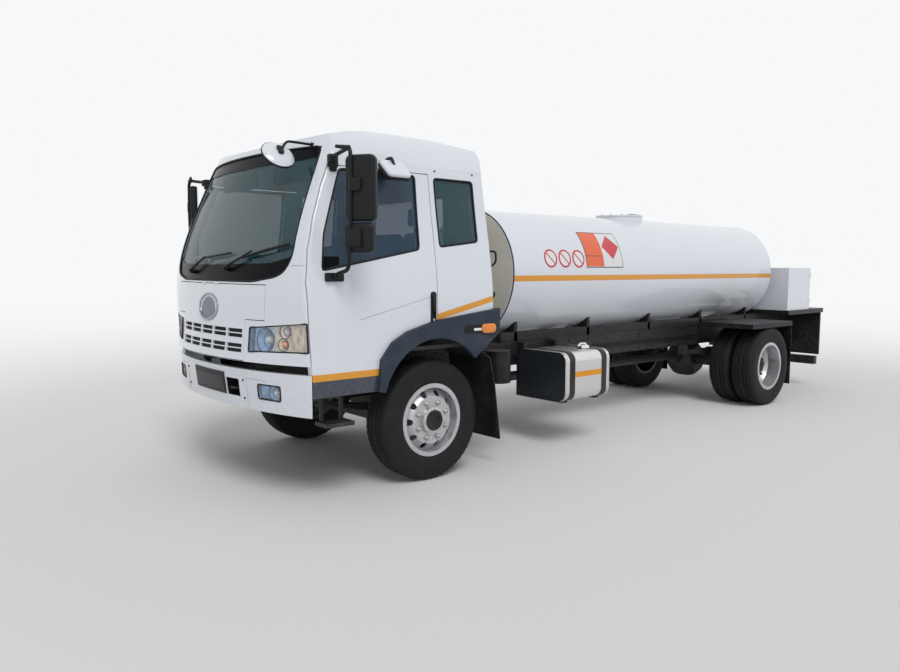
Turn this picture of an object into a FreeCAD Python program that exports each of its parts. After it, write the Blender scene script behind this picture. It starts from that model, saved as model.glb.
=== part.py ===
import FreeCAD, Part
import math
import os
import re
import Sketcher
from FreeCAD import Placement, Rotation, Vector

# A two-axle tanker truck with its cab over the engine, in millimetres.
# +X is forward, +Y is the truck's left, +Z is up. The origin lies on the ground at mid-length.
# Names that end in _ahead are measured forward from the front axle, those in _behind backward.

SIZES = {
    # Axles and wheels
    "axle_x": 3125, "wheelbase": 5490,
    "tyre_radius": 505, "tyre_width": 275, "bead_width": 222,
    "shoulder_drop": 14, "shoulder_width": 96, "sidewall_radius": 400,
    "flange_radius": 304, "rim_half_width": 128, "flange_depth": 10, "seat_radius": 282,
    "well_radius": 268, "disc_depth": 14, "disc_radius": 200,
    "front_wheel_y": 972, "front_disc_out": 118, "disc_root_out": 50,
    "rear_outer_y": 1092, "dual_spacing": 315,
    "hub_radius": 112, "hub_cap": 25, "hub_out": 150, "spindle_radius": 40, "running_fit": 0.05,
    "drum_radius": 215, "drum_wall": 15, "drum_mouth": 40, "drum_back": 35, "drum_floor": 20,
    "hand_hole_radius": 27, "hand_hole_circle": 222, "hand_holes": 10,
    # Steering and front axle
    "kingpin_y": 880, "kingpin_radius": 20, "ear_radius": 45, "ear_high": 105, "ear_low": 65,
    "eye_radius": 42, "eye_half": 60, "plate_near": 47, "plate_far": 72, "plate_half": 50,
    "steer_arm_reach": 175, "steer_arm_half": 14, "steer_arm_depth": 22,
    "ball_radius": 16, "rod_radius": 17, "rod_drop": 34, "rod_eye_radius": 27, "ball_length": 50,
    "beam_half": 45, "beam_low": 385, "beam_top": 470, "beam_drop_y": 470, "beam_rise_y": 640,
    "spring_width": 75, "spring_pad": 30, "front_spring_half": 740, "front_spring_depth": 62,
    "front_spring_rise": 135, "leaf_depth": 14, "hanger_length": 90,
    # Frame
    "rail_y": 430, "rail_flange": 75, "rail_web": 8, "rail_low": 760, "rail_top": 1000,
    "rail_front_ahead": 1150, "rail_rear_behind": 7620, "cross_depth": 120, "cross_length": 60,
    "seat_gap": 0.3, "cut_over": 50, "move_gap": 6,
    "horn_length": 202, "horn_width": 60, "horn_low": 790, "horn_top": 910,
    "pivot_ahead": 1270, "pivot_z": 986, "pivot_half": 20, "pivot_pin": 14, "pivot_arm_in": 436,
    "pivot_arm_out": 456, "pivot_arm_back": 1050, "post_behind": 480, "post_length": 80,
    "post_width": 45,
    # Rear axle
    "axle_tube_radius": 75, "axle_tube_end": 640, "diff_radius": 247, "diff_half": 190,
    "pinion_radius": 95, "pinion_reach": 330, "rear_spring_half": 780, "rear_spring_depth": 92,
    "rear_spring_rise": 60, "rear_spring_y": 400, "rear_spring_width": 90, "pad_depth": 20,
    "shaft_z": 560, "shaft_radius": 52, "stub_end": 1010,
    # Engine
    "gearbox_cross_behind": 1340,
    "engine_ahead": 480, "engine_behind": 700, "engine_half": 325, "engine_low": 620,
    "engine_top": 1150, "gearbox_behind": 1260, "gearbox_half": 190, "gearbox_low": 450,
    "gearbox_top": 850, "mount_length": 110, "mount_depth": 40,
    # Tank
    "tank_radius": 655, "tank_z": 1700, "barrel_front_behind": 1391, "barrel_rear_behind": 6550,
    "dish_depth": 62, "bearer_depth": 100, "bearer_width": 75, "saddle_length": 45,
    "saddle_half": 520, "saddle_top": 1345, "saddles": 5, "saddle_margin": 260,
    "manway_behind": 3900, "manway_radius": 285, "collar_depth": 24, "collar_wall": 14,
    "lid_radius": 292, "lid_depth": 16, "lid_hinge": 322, "lid_lug_half": 40,
    # Rear deck, cabinet and tail
    "deck_front_behind": 6625, "deck_rear_behind": 7720, "deck_half": 900, "deck_top": 1160,
    "deck_plate": 5, "deck_skirt": 6, "tread_depth": 4, "tread_gap": 40,
    "plate_back_half": 260, "plate_back_low": 560, "plate_back_top": 671, "plate_back_depth": 3,
    "cabinet_front_behind": 6640, "cabinet_rear_behind": 7300, "cabinet_half": 870,
    "cabinet_top": 1760, "cabinet_wall": 22, "cabinet_door": 20, "cabinet_lip": 30,
    "door_seam": 3, "cabinet_hinge": 3, "cabinet_pin_y": 868, "cabinet_hinge_low": 1270,
    "cabinet_hinge_high": 1650,
    "tail_panel_depth": 30, "tail_panel_low": 470, "tail_panel_half": 900,
    "underrun_low": 330, "underrun_top": 450, "underrun_depth": 90, "underrun_half": 890,
    "underrun_rear_behind": 7600, "arm_width": 60, "arm_length": 70,
    "tail_lamp_in": 600, "tail_lamp_out": 880, "tail_lamp_low": 600, "tail_lamp_high": 720,
    "tail_lamp_depth": 45,
    # Guards and side gear
    "guard_top": 1062, "guard_plate": 6, "guard_in": 550, "guard_out": 1240, "guard_lip": 60,
    "guard_ahead": 500, "guard_back": 537, "flap_plate": 8, "flap_low": 225, "flap_in": 640,
    "stay_radius": 19,
    "front_guard_in": 640, "front_guard_out": 1190,
    "step_front_ahead": 1050, "step_rear_ahead": 810, "step_out": 1170, "step_in": 1000,
    "step_low": 585, "step_top": 615, "hanger_top": 790, "hanger_bar": 26, "hanger_inset": 22,
    "fuel_front_behind": 1600, "fuel_rear_behind": 2270, "fuel_in": 530, "fuel_out": 1150,
    "fuel_low": 470, "fuel_top": 945, "fuel_round": 90, "strap_depth": 4, "strap_width": 72,
    "strap_front_behind": 1668, "strap_rear_behind": 2150, "bracket_foot": 26,
    "fuel_cap_behind": 2100, "fuel_cap_y": 950, "fuel_cap_radius": 42, "fuel_cap_rise": 22,
    "battery_front_behind": 1050, "battery_rear_behind": 1600, "battery_in": 520,
    "battery_out": 1100, "battery_low": 560, "battery_top": 960,
    "air_tank_front_behind": 1780, "air_tank_rear_behind": 2480, "air_tank_radius": 118,
    "air_tank_y": 650, "air_tank_z": 830, "air_tank_pitch": 262,
    "silencer_front_behind": 2650, "silencer_rear_behind": 3420, "silencer_radius": 165,
    "silencer_y": 680, "silencer_z": 790, "pipe_radius": 50, "pipe_out": 1130,
    "pipe_behind": 3330,
    "cleaner_behind": 940, "cleaner_y": 900, "cleaner_radius": 120, "cleaner_low": 705,
    "cleaner_top": 1000, "cleaner_bar": 40,
    # Cab block: height, and front at the middle, front at the corner and half width there
    "level1_z": 800, "level1_nose": 1458, "level1_corner": 1195, "level1_half": 1200,
    "level2_z": 1055, "level2_nose": 1470, "level2_corner": 1203, "level2_half": 1200,
    "level3_z": 1350, "level3_nose": 1436, "level3_corner": 1217, "level3_half": 1200,
    "level4_z": 1650, "level4_nose": 1400, "level4_corner": 1222, "level4_half": 1193,
    "level5_z": 1880, "level5_nose": 1347, "level5_corner": 1188, "level5_half": 1165,
    "level6_z": 2115, "level6_nose": 1275, "level6_corner": 1118, "level6_half": 1127,
    "level7_z": 2350, "level7_nose": 1192, "level7_corner": 1024, "level7_half": 1092,
    "level8_z": 2570, "level8_nose": 1112, "level8_corner": 928, "level8_half": 1062,
    "level9_z": 2900, "level9_nose": 975, "level9_corner": 770, "level9_half": 1015,
    "cab_rear_behind": 638, "cab_rear_lean": 50, "corner_round": 28, "rear_round": 60,
    "side_wall": 55, "front_skin": 16, "rear_wall": 45, "glass_depth": 6, "glass_set": 14,
    "pocket_wall": 25,
    # Cab openings, from the front axle
    "door_front_low": 1180, "door_front_mid": 1202, "door_front_belt": 1214,
    "door_front_a": 1181, "door_front_b": 1111, "door_front_c": 1020, "door_front_top": 950,
    "door_top": 2500, "door_rear": 33, "door_low": 822, "door_gap": 7,
    "flare_low_ahead": 628, "flare_a_ahead": 600, "flare_a_z": 1060, "flare_b_ahead": 490,
    "flare_b_z": 1190, "flare_c_ahead": 344, "flare_c_z": 1266, "flare_d_ahead": 10,
    "flare_d_z": 1345, "flare_rear_z": 1415, "flare_out": 36, "flare_edge_z": 1208,
    "flare_tip_behind": 375, "flare_tip_z": 1022,
    "arch_z": 660, "arch_radius": 535, "arch_ahead": 52,
    "win_front_low": 1085, "win_front_low_z": 1735, "win_rear_low": 185, "win_rear_low_z": 1900,
    "win_rear_top": 165, "win_top_z": 2482, "win_front_top": 866, "win_front_mid": 1048,
    "win_front_mid_z": 1990,
    "quarter_front": 28, "quarter_rear": 445, "quarter_low": 1925, "quarter_low_rear": 1975,
    "quarter_top": 2475,
    "screen_low": 1652, "screen_half_low": 640, "screen_wing_y": 900, "screen_wing_z": 1690,
    "screen_turn_y": 975, "screen_turn_z": 1725,
    "screen_rise_y": 1018, "screen_rise_z": 1790, "screen_side_y": 1035, "screen_side_z": 1860,
    "screen_top_y": 952, "screen_top_z": 2652,
    "rear_win_half": 560, "rear_win_low": 1900, "rear_win_top": 2380,
    "flap_half_top": 800, "flap_half_low": 575, "flap_shoulder": 1372, "flap_foot": 1062,
    "flap_head": 1628, "grille_low": 1118, "grille_height": 66, "grille_rise": 112,
    "grille_bar": 8, "grille_pitch": 224, "grille_rib": 18,
    "flap_hinge_y": 120, "flap_hinge_ahead": 1406, "hinge_length": 48,
    "hinge_radius": 6, "hinge_pin": 3,
    "lamp_in": 640, "lamp_out": 1210, "lamp_bottom": 1131, "lamp_bottom_out": 1150,
    "lamp_head": 1366, "lamp_head_in": 1316, "lamp_depth": 70,
    "floor_z": 1100, "floor_depth": 30, "firewall_ahead": 1120, "firewall_depth": 25,
    "tunnel_half": 400, "tunnel_top": 1260,
    "gutter_rear_z": 2522, "gutter_mid_ahead": 300, "gutter_mid_z": 2576,
    "gutter_step_ahead": 900, "gutter_step_z": 2588, "gutter_brow_ahead": 925,
    "gutter_front_z": 2672, "roof_wall": 40,
    "roof_nose_ahead": 1082, "roof_nose_z": 2690, "roof_a_ahead": 990, "roof_a_z": 2722,
    "roof_peak_ahead": 640, "roof_peak_z": 2800,
    "roof_rear_z": 2755, "roof_side_y": 940, "roof_side_z": 2765, "roof_eave_z": 2560,
    # Cab inside
    "dash_rear": 830, "dash_low": 1420, "dash_top": 1665, "dash_half": 1060,
    "seat_behind": 330, "seat_ahead": 210, "seat_cushion_z": 1520,
    "seat_base_inset": 60, "cushion_depth": 130, "driver_in": 330, "driver_out": 840,
    "back_depth": 130, "back_top": 2110, "head_top": 2290, "head_half": 135, "head_inset": 25,
    "bench_in": -110, "bench_out": 850,
    "wheel_ahead": 560, "wheel_z": 1735, "wheel_radius": 225, "wheel_rim": 15, "wheel_y": 585,
    "wheel_lean_deg": 35, "column_radius": 30, "column_length": 800, "spoke_half": 18,
    "wheel_hub_radius": 55, "wheel_hub_depth": 40,
    # Front trim
    "bumper_low": 684, "bumper_top": 990, "bumper_nose": 1440, "bumper_nose_low": 1402,
    "bumper_corner": 1196, "bumper_depth": 42, "bumper_half": 1200,
    "fog_in": 695, "fog_out": 935, "fog_low": 778, "fog_top": 893,
    "tow_in": 280, "tow_out": 464, "tow_low": 769, "tow_top": 906,
    "mirror_tube_radius": 13, "mirror_tube_ahead": 975, "mirror_y": 1400, "mirror_low": 1715,
    "mirror_high": 2470, "mirror_front_ahead": 1005, "mirror_rear_ahead": 905,
    "mirror_in": 1392, "mirror_out": 1572, "mirror_round": 30, "mirror_foot_half": 22,
    "main_low": 2095, "main_top": 2535, "wide_low": 1865,
    "wide_top": 2065, "mirror_post_top": 2585,
    "mirror_dish_ahead": 1224, "mirror_dish_y": 850, "mirror_dish_z": 2578,
    "mirror_dish_radius": 118, "mirror_dish_depth": 30, "mirror_dish_lean_deg": 36,
    "dish_arm_rise": 95, "dish_arm_radius": 11, "dish_arm_root": 900,
    "kerb_ahead": 445, "kerb_plate_half": 50, "kerb_plate_in": 1080, "kerb_plate": 12,
    "kerb_foot": 2484, "kerb_foot_top": 2498, "kerb_arm_top": 2590, "kerb_arm": 18,
    "kerb_head_half": 120, "kerb_head_in": 1115, "kerb_head_out": 1305, "kerb_head_low": 2400,
    "kerb_head_top": 2545, "kerb_round": 50,
}

doc = FreeCAD.newDocument("tanker_truck")
sheet = doc.addObject("Spreadsheet::Sheet", "Sizes")
for row, (alias, value) in enumerate(SIZES.items(), 1):
    sheet.set(f"A{row}", alias.replace("_", " "))
    sheet.set(f"B{row}", str(value))
    sheet.setAlias(f"B{row}", alias)
doc.recompute()


class SheetValues:
    """Reads a cell of the sheet by its alias, for the shapes that are set in code."""

    def __getattr__(self, alias):
        return float(sheet.get(alias))


size = SheetValues()
NODES = []


def bound(text):
    """The text of an expression, with the sheet's name put before each alias in it."""
    return re.sub(r"[a-z_][a-z_0-9]*",
                  lambda m: "Sizes." + m.group() if m.group() in SIZES else m.group(), text)


def ahead(name):
    """X of a place that is measured forward from the front axle."""
    return f"axle_x + ({name})"


def behind(name):
    """X of a place that is measured backward from the front axle."""
    return f"axle_x - ({name})"


REAR_AXLE = "axle_x - wheelbase"


def box(name, x, y, z):
    """A box between two corners: x, y and z each hold its low and its high side."""
    made = doc.addObject("Part::Box", name)
    for prop, base, (low, high) in zip(("Length", "Width", "Height"), "xyz", (x, y, z)):
        made.setExpression(prop, bound(f"({high}) - ({low})"))
        made.setExpression(f"Placement.Base.{base}", bound(low))
    return made


ALONG = {"X": Rotation(Vector(0, 1, 0), 90), "Y": Rotation(Vector(1, 0, 0), -90), "Z": Rotation()}


def rod(name, axis, radius, span, across):
    """A cylinder along an axis: its low and high end, and its place across, in XYZ order."""
    made = doc.addObject("Part::Cylinder", name)
    made.Placement = Placement(Vector(), ALONG[axis])
    made.setExpression("Radius", bound(radius))
    made.setExpression("Height", bound(f"({span[1]}) - ({span[0]})"))
    places = list(across)
    places.insert("XYZ".index(axis), span[0])
    for base, place in zip("xyz", places):
        made.setExpression(f"Placement.Base.{base}", bound(place))
    return made


def fuse(name, *pieces):
    made = doc.addObject("Part::MultiFuse", name)
    made.Shapes = list(pieces)
    made.Refine = True
    return made


def cut(name, base, *tools):
    made = doc.addObject("Part::Cut", name)
    made.Base = base
    made.Tool = tools[0] if len(tools) == 1 else fuse(name + "_tools", *tools)
    made.Refine = True
    return made


def common(name, first, second):
    made = doc.addObject("Part::MultiCommon", name)
    made.Shapes = [first, second]
    return made


def group(name, *pieces):
    """Separate solids that share a node."""
    made = doc.addObject("Part::Compound", name)
    made.Links = list(pieces)
    return made


def mirrored(name, source):
    """The same piece on the truck's other side."""
    made = doc.addObject("Part::Mirroring", name)
    made.Source = source
    made.Normal = Vector(0, 1, 0)
    return made


def both_sides(name, left):
    return group(name, left, mirrored(name + "_right", left))


def rounded_bar(name, x, y, z, radius):
    """A bar along X with four round edges."""
    (y0, y1), (z0, z1) = y, z
    wide = box(name + "_wide", x, y, (f"{z0} + {radius}", f"{z1} - {radius}"))
    tall = box(name + "_tall", x, (f"{y0} + {radius}", f"{y1} - {radius}"), z)
    rounds = [rod(f"{name}_round{i}{k}", "X", radius, x, (across, up))
              for i, across in enumerate((f"{y0} + {radius}", f"{y1} - {radius}"))
              for k, up in enumerate((f"{z0} + {radius}", f"{z1} - {radius}"))]
    return fuse(name, wide, tall, *rounds)


def origin_plane(body, role):
    return next(f for f in body.Origin.OriginFeatures if f.Role == role)


def outline(body, plane, points):
    """A closed sketch of straight runs whose corners are bound to the sheet."""
    sketch = body.newObject("Sketcher::SketchObject", body.Name + "_outline")
    sketch.AttachmentSupport = [(origin_plane(body, plane), "")]
    sketch.MapMode = "FlatFace"
    count = len(points)
    spots = [Vector(math.cos(math.tau * i / count), math.sin(math.tau * i / count), 0)
             for i in range(count)]
    for i in range(count):
        sketch.addGeometry(Part.LineSegment(spots[i], spots[(i + 1) % count]), False)
    for i in range(count):
        sketch.addConstraint(Sketcher.Constraint("Coincident", i, 2, (i + 1) % count, 1))
    for i, place in enumerate(points):
        for kind, value, start in zip(("DistanceX", "DistanceY"), place, spots[i]):
            index = sketch.addConstraint(Sketcher.Constraint(kind, i, 1, start))
            sketch.setExpression(f"Constraints[{index}]", bound(value))
    return sketch


def prism(name, plane, points, low, high):
    """A pad of an outline, from low to high across its plane."""
    body = doc.addObject("PartDesign::Body", name)
    sketch = outline(body, plane, points)
    start = f"-({high})" if plane == "XZ_Plane" else low
    sketch.setExpression("AttachmentOffset.Base.z", bound(start))
    pad = body.newObject("PartDesign::Pad", name + "_pad")
    pad.Profile = sketch
    pad.setExpression("Length", bound(f"({high}) - ({low})"))
    return body


def turned(name, points, place):
    """A ring about Y: its points are radius and place along the axle, then it is set in place."""
    body = doc.addObject("PartDesign::Body", name)
    sketch = outline(body, "XY_Plane", points)
    spin = body.newObject("PartDesign::Revolution", name + "_turn")
    spin.Profile = sketch
    spin.ReferenceAxis = (sketch, ["V_Axis"])
    spin.Angle = 360
    for base, value in zip("xyz", place):
        body.setExpression(f"Placement.Base.{base}", bound(value))
    return body


def shaped(name, shape):
    """A feature that holds a shape which code has worked out."""
    made = doc.addObject("Part::Feature", name)
    made.Shape = shape
    return made


def node(label, made):
    """Marks an object as a sub-part that gets its own file."""
    made.Label = label
    NODES.append(made)
    return made


# Wheels

def tyre(name, place):
    bead = "seat_radius + seat_gap"
    points = [(bead, "bead_width/2"), ("sidewall_radius", "tyre_width/2"),
              ("tyre_radius - shoulder_drop*3", "tyre_width/2 - shoulder_drop/2"),
              ("tyre_radius - shoulder_drop/3", "shoulder_width"),
              ("tyre_radius", "shoulder_width/2"), ("tyre_radius", "-shoulder_width/2"),
              ("tyre_radius - shoulder_drop/3", "-shoulder_width"),
              ("tyre_radius - shoulder_drop*3", "-tyre_width/2 + shoulder_drop/2"),
              ("sidewall_radius", "-tyre_width/2"), (bead, "-bead_width/2")]
    return turned(name, points, place)


def rim_ring(side, disc_out, root_out):
    """The rim's section: flanges, well and the cone down to its disc, on the side given."""
    edge = ["well_radius", "flange_radius", "flange_radius", "seat_radius", "seat_radius",
            "flange_radius", "flange_radius", "well_radius"]
    along = ["-rim_half_width", "-rim_half_width", "-rim_half_width + flange_depth",
             "-rim_half_width + flange_depth", "rim_half_width - flange_depth",
             "rim_half_width - flange_depth", "rim_half_width", "rim_half_width"]
    ring = list(zip(edge, along))
    disc = [("well_radius", f"{side}*({root_out})"), ("disc_radius", f"{side}*({disc_out})")]
    back = [("disc_radius", f"{side}*({disc_out} - disc_depth)"),
            ("well_radius", f"{side}*({root_out} - disc_depth*1.6)")]
    return ring, disc, back


def hand_holes(name, place):
    """Round holes on a circle through the disc."""
    holes = []
    count = int(size.hand_holes)
    for i in range(count):
        turn = f"{i}*360/{count}"
        x, y, z = place
        holes.append(rod(f"{name}{i}", "Y", "hand_hole_radius",
                         (f"{y} - rim_half_width", f"{y} + rim_half_width"),
                         (f"{x} + hand_hole_circle*cos({turn})",
                          f"{z} + hand_hole_circle*sin({turn})")))
    return holes


def front_rim(name, side):
    y = f"{side}*front_wheel_y"
    ring, disc, back = rim_ring(side, "front_disc_out", "disc_root_out")
    hub = [("hub_radius", f"{side}*front_disc_out"), ("hub_radius", f"{side}*hub_out"),
           ("0", f"{side}*hub_out"), ("0", f"{side}*(hub_out - hub_cap)"),
           ("spindle_radius + running_fit", f"{side}*(hub_out - hub_cap)"),
           ("spindle_radius + running_fit", f"{side}*drum_floor"),
           ("drum_radius - drum_wall", f"{side}*drum_floor"),
           ("drum_radius - drum_wall", f"-{side}*drum_mouth"),
           ("drum_radius", f"-{side}*drum_mouth"), ("drum_radius", f"{side}*drum_back"),
           ("hub_radius", f"{side}*drum_back"),
           ("hub_radius", f"{side}*(front_disc_out - disc_depth)")]
    if side == "1":
        points = ring + disc + hub + back
    else:
        points = list(reversed(ring)) + disc + hub + back
    place = ("axle_x", y, "tyre_radius")
    return cut(name, turned(name + "_blank", points, place), *hand_holes(name + "_hole", place))


def rear_rims(name, side):
    """Two rims back to back on one hub, with the brake drum inside the inner one."""
    outer = f"{side}*rear_outer_y"
    inner = f"{side}*(rear_outer_y - dual_spacing)"
    half = "dual_spacing/2"
    pieces = []
    for label, y, facing in (("outer", outer, "-1" if side == "1" else "1"),
                             ("inner", inner, side)):
        ring, disc, back = rim_ring(facing, half, "disc_root_out")
        bore = [("hub_radius - hub_cap", f"{facing}*{half}"),
                ("hub_radius - hub_cap", f"{facing}*({half} - disc_depth)")]
        ring = ring if facing == "1" else list(reversed(ring))
        place = (REAR_AXLE, y, "tyre_radius")
        blank = turned(f"{name}_{label}_blank", ring + disc + bore + back, place)
        pieces.append(cut(f"{name}_{label}", blank, *hand_holes(f"{name}_{label}_hole", place)))
    hub = [("hub_radius", f"{side}*hub_out"), ("0", f"{side}*hub_out"),
           ("0", f"{side}*(hub_out - hub_cap)"),
           ("spindle_radius + running_fit", f"{side}*(hub_out - hub_cap)"),
           ("spindle_radius + running_fit", f"-{side}*{half} - {side}*drum_mouth"),
           ("hub_radius", f"-{side}*{half} - {side}*drum_mouth")]
    middle = f"{side}*(rear_outer_y - dual_spacing/2)"
    pieces.append(turned(name + "_hub", hub, (REAR_AXLE, middle, "tyre_radius")))
    return fuse(name, *pieces)


def wheels():
    for label, side in (("left", "1"), ("right", "-1")):
        place = ("axle_x", f"{side}*front_wheel_y", "tyre_radius")
        node(f"tyre_front_{label}", tyre(f"tyre_front_{label}", place))
        node(f"rim_front_{label}", front_rim(f"rim_front_{label}", side))
        pair = [tyre(f"tyre_rear_{label}_{k}", (REAR_AXLE, f"{side}*({y})", "tyre_radius"))
                for k, y in enumerate(("rear_outer_y", "rear_outer_y - dual_spacing"))]
        node(f"tyres_rear_{label}", group(f"tyres_rear_{label}", *pair))
        node(f"rims_rear_{label}", rear_rims(f"rims_rear_{label}", side))


# Front axle and steering

def knuckle(label, side):
    """Two ears on the kingpin, a plate, the spindle and the arm for the track rod."""
    pin_y = f"{side}*kingpin_y"
    x, z = "axle_x", "tyre_radius"
    ears = [rod(f"ear{label}{k}", "Z", "ear_radius", span, (x, pin_y))
            for k, span in enumerate(((f"{z} + ear_low", f"{z} + ear_high"),
                                      (f"{z} - ear_high", f"{z} - ear_low")))]
    near, far = "kingpin_y + plate_near", "kingpin_y + plate_far"
    span = (near, far) if side == "1" else (f"-({far})", f"-({near})")
    plate = box(f"plate{label}", (f"{x} - plate_half", f"{x} + plate_half"), span,
                (f"{z} - ear_high", f"{z} + ear_high"))
    links = []
    for k, (low, high) in enumerate((("ear_low", "ear_high"), ("-ear_high", "-ear_low"))):
        reach = ("kingpin_y", near) if side == "1" else (f"-({near})", "-kingpin_y")
        links.append(box(f"ear_link{label}{k}", (f"{x} - ear_radius", f"{x} + ear_radius"),
                         reach, (f"{z} + {low}", f"{z} + {high}")))
    tip = "front_wheel_y + hub_out - hub_cap*1.4"
    span = (near, tip) if side == "1" else (f"-({tip})", f"-({near})")
    spindle = rod(f"spindle{label}", "Y", "spindle_radius", span, (x, z))
    pin = rod(f"kingpin{label}", "Z", "kingpin_radius", (f"{z} - ear_high", f"{z} + ear_high"),
              (x, pin_y))
    arm_y = f"{side}*kingpin_y"
    arm = box(f"arm{label}", (f"{x} - steer_arm_reach", x),
              (f"{arm_y} - steer_arm_half", f"{arm_y} + steer_arm_half"),
              (f"{z} - ear_high", f"{z} - ear_high + steer_arm_depth"))
    eye = rod(f"arm_eye{label}", "Z", "rod_eye_radius",
              (f"{z} - ear_high", f"{z} - ear_high + steer_arm_depth"),
              (f"{x} - steer_arm_reach", arm_y))
    ball = rod(f"ball{label}", "Z", "ball_radius",
               (f"{z} - ear_high - ball_length", f"{z} - ear_high"),
               (f"{x} - steer_arm_reach", arm_y))
    return fuse(f"knuckle_{label}", *ears, plate, *links, spindle, pin, arm, eye, ball)


def track_rod():
    """A bar between the two arms' ball pins, with an eye at each end."""
    z = "tyre_radius - ear_high - rod_drop"
    x = "axle_x - steer_arm_reach"
    y = "kingpin_y"
    reach = f"({y} - rod_eye_radius*0.8)"
    bar = rod("track_bar", "Y", "rod_radius", (f"-{reach}", reach), (x, z))
    ends = [rod(f"track_eye{k}", "Z", "rod_eye_radius", (f"{z} - rod_eye_radius*0.7",
                f"{z} + rod_eye_radius*0.7"), (x, f"{side}*({y})"))
            for k, side in enumerate(("1", "-1"))]
    bores = [rod(f"track_bore{k}", "Z", "ball_radius + running_fit",
                 (f"{z} - rod_eye_radius", f"{z} + rod_eye_radius"), (x, f"{side}*({y})"))
             for k, side in enumerate(("1", "-1"))]
    return cut("track_rod", fuse("track_solid", bar, *ends), *bores)


def front_axle():
    """A dropped beam with an eye for each kingpin."""
    z, tip = "tyre_radius", "kingpin_y"
    half = [("beam_drop_y", "beam_low"), ("beam_rise_y", f"{z} - eye_half"),
            (tip, f"{z} - eye_half"), (tip, f"{z} + eye_half"),
            ("beam_rise_y", f"{z} + eye_half"), ("beam_drop_y", "beam_top")]
    other = [(f"-({y})", up) for y, up in reversed(half)]
    beam = prism("beam", "YZ_Plane", half + other, "axle_x - beam_half", "axle_x + beam_half")
    eyes = [rod(f"beam_eye{k}", "Z", "eye_radius", (f"{z} - eye_half", f"{z} + eye_half"),
                ("axle_x", f"{side}*{tip}")) for k, side in enumerate(("1", "-1"))]
    ends = [box(f"beam_trim{k}", ("axle_x - beam_half - cut_over", "axle_x + beam_half + cut_over"),
                span, (f"{z} - ear_high", f"{z} + ear_high"))
            for k, span in enumerate(((f"{tip}", f"{tip} + ear_high"),
                                      (f"-{tip} - ear_high", f"-{tip}")))]
    necks = [rod(f"beam_bore{k}", "Z", "kingpin_radius + running_fit",
                 (f"{z} - ear_high", f"{z} + ear_high"), ("axle_x", f"{side}*{tip}"))
             for k, side in enumerate(("1", "-1"))]
    solid = fuse("beam_solid", cut("beam_cut", beam, *ends), *eyes)
    pads = [box(f"beam_pad{k}", ("axle_x - beam_half*1.5", "axle_x + beam_half*1.5"), span,
                ("beam_top - beam_half/2", "beam_top + spring_pad - seat_gap"))
            for k, span in enumerate((("rail_y - spring_width", "rail_y"),
                                      ("-rail_y", "-rail_y + spring_width")))]
    return cut("front_axle_beam", fuse("beam_with_pads", solid, *pads), *necks)


def leaf_spring(name, x, y, z, half, depth, rise):
    """A pack of leaves, deepest at the axle, with a hanger from the rail at each end."""
    points = [(f"{x} - {half}", f"{z} + {rise}"), (f"{x} - {half}/2", f"{z} + {rise}/3"),
              (f"{x} - {half}/6", z), (f"{x} + {half}/6", z),
              (f"{x} + {half}/2", f"{z} + {rise}/3"), (f"{x} + {half}", f"{z} + {rise}"),
              (f"{x} + {half}", f"{z} + {rise} + leaf_depth"),
              (f"{x} + {half}/2", f"{z} + {rise}/3 + {depth}*0.7"),
              (f"{x} + {half}/6", f"{z} + {depth}"), (f"{x} - {half}/6", f"{z} + {depth}"),
              (f"{x} - {half}/2", f"{z} + {rise}/3 + {depth}*0.7"),
              (f"{x} - {half}", f"{z} + {rise} + leaf_depth")]
    leaves = prism(name + "_leaves", "XZ_Plane", points, y[0], y[1])
    hangers = [box(f"{name}_hanger{k}", (f"{at} - hanger_length/2", f"{at} + hanger_length/2"), y,
                   (f"{z} + {rise} - leaf_depth", "rail_low"))
               for k, at in enumerate((f"{x} - {half}", f"{x} + {half}"))]
    return fuse(name, leaves, *hangers)


def springs():
    front = leaf_spring("front_spring", "axle_x", ("rail_y - spring_width", "rail_y"),
                        "beam_top + spring_pad", "front_spring_half", "front_spring_depth",
                        "front_spring_rise")
    rear = leaf_spring("rear_spring", REAR_AXLE,
                       ("rear_spring_y", "rear_spring_y + rear_spring_width"),
                       "tyre_radius + axle_tube_radius + pad_depth", "rear_spring_half",
                       "rear_spring_depth", "rear_spring_rise")
    return group("leaf_springs", front, mirrored("front_spring_right", front), rear,
                 mirrored("rear_spring_right", rear))


def rear_axle():
    z = "tyre_radius"
    tube = rod("axle_tube", "Y", "axle_tube_radius", ("-axle_tube_end", "axle_tube_end"),
               (REAR_AXLE, z))
    stub_end = "rear_outer_y - dual_spacing/2 + hub_out - hub_cap*1.4"
    stub = rod("axle_stub", "Y", "spindle_radius", (f"-({stub_end})", stub_end), (REAR_AXLE, z))
    bowl = turned("differential", [("0", "-diff_half"), ("diff_radius*0.7", "-diff_half"),
                                   ("diff_radius*0.95", "-diff_half*0.6"),
                                   ("diff_radius", "-diff_half*0.3"),
                                   ("diff_radius", "diff_half*0.3"),
                                   ("diff_radius*0.95", "diff_half*0.6"),
                                   ("diff_radius*0.7", "diff_half"), ("0", "diff_half")],
                  (REAR_AXLE, "0", z))
    nose = rod("pinion", "X", "pinion_radius", (REAR_AXLE, f"{REAR_AXLE} + pinion_reach"),
               ("0", "shaft_z"))
    pads = [box(f"axle_pad{k}", (f"{REAR_AXLE} - beam_half*1.5", f"{REAR_AXLE} + beam_half*1.5"),
                span, (z, f"{z} + axle_tube_radius + pad_depth - seat_gap"))
            for k, span in enumerate((("rear_spring_y", "rear_spring_y + rear_spring_width"),
                                      ("-rear_spring_y - rear_spring_width", "-rear_spring_y")))]
    return fuse("rear_axle", tube, stub, bowl, nose, *pads)


# Frame and drive

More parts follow.
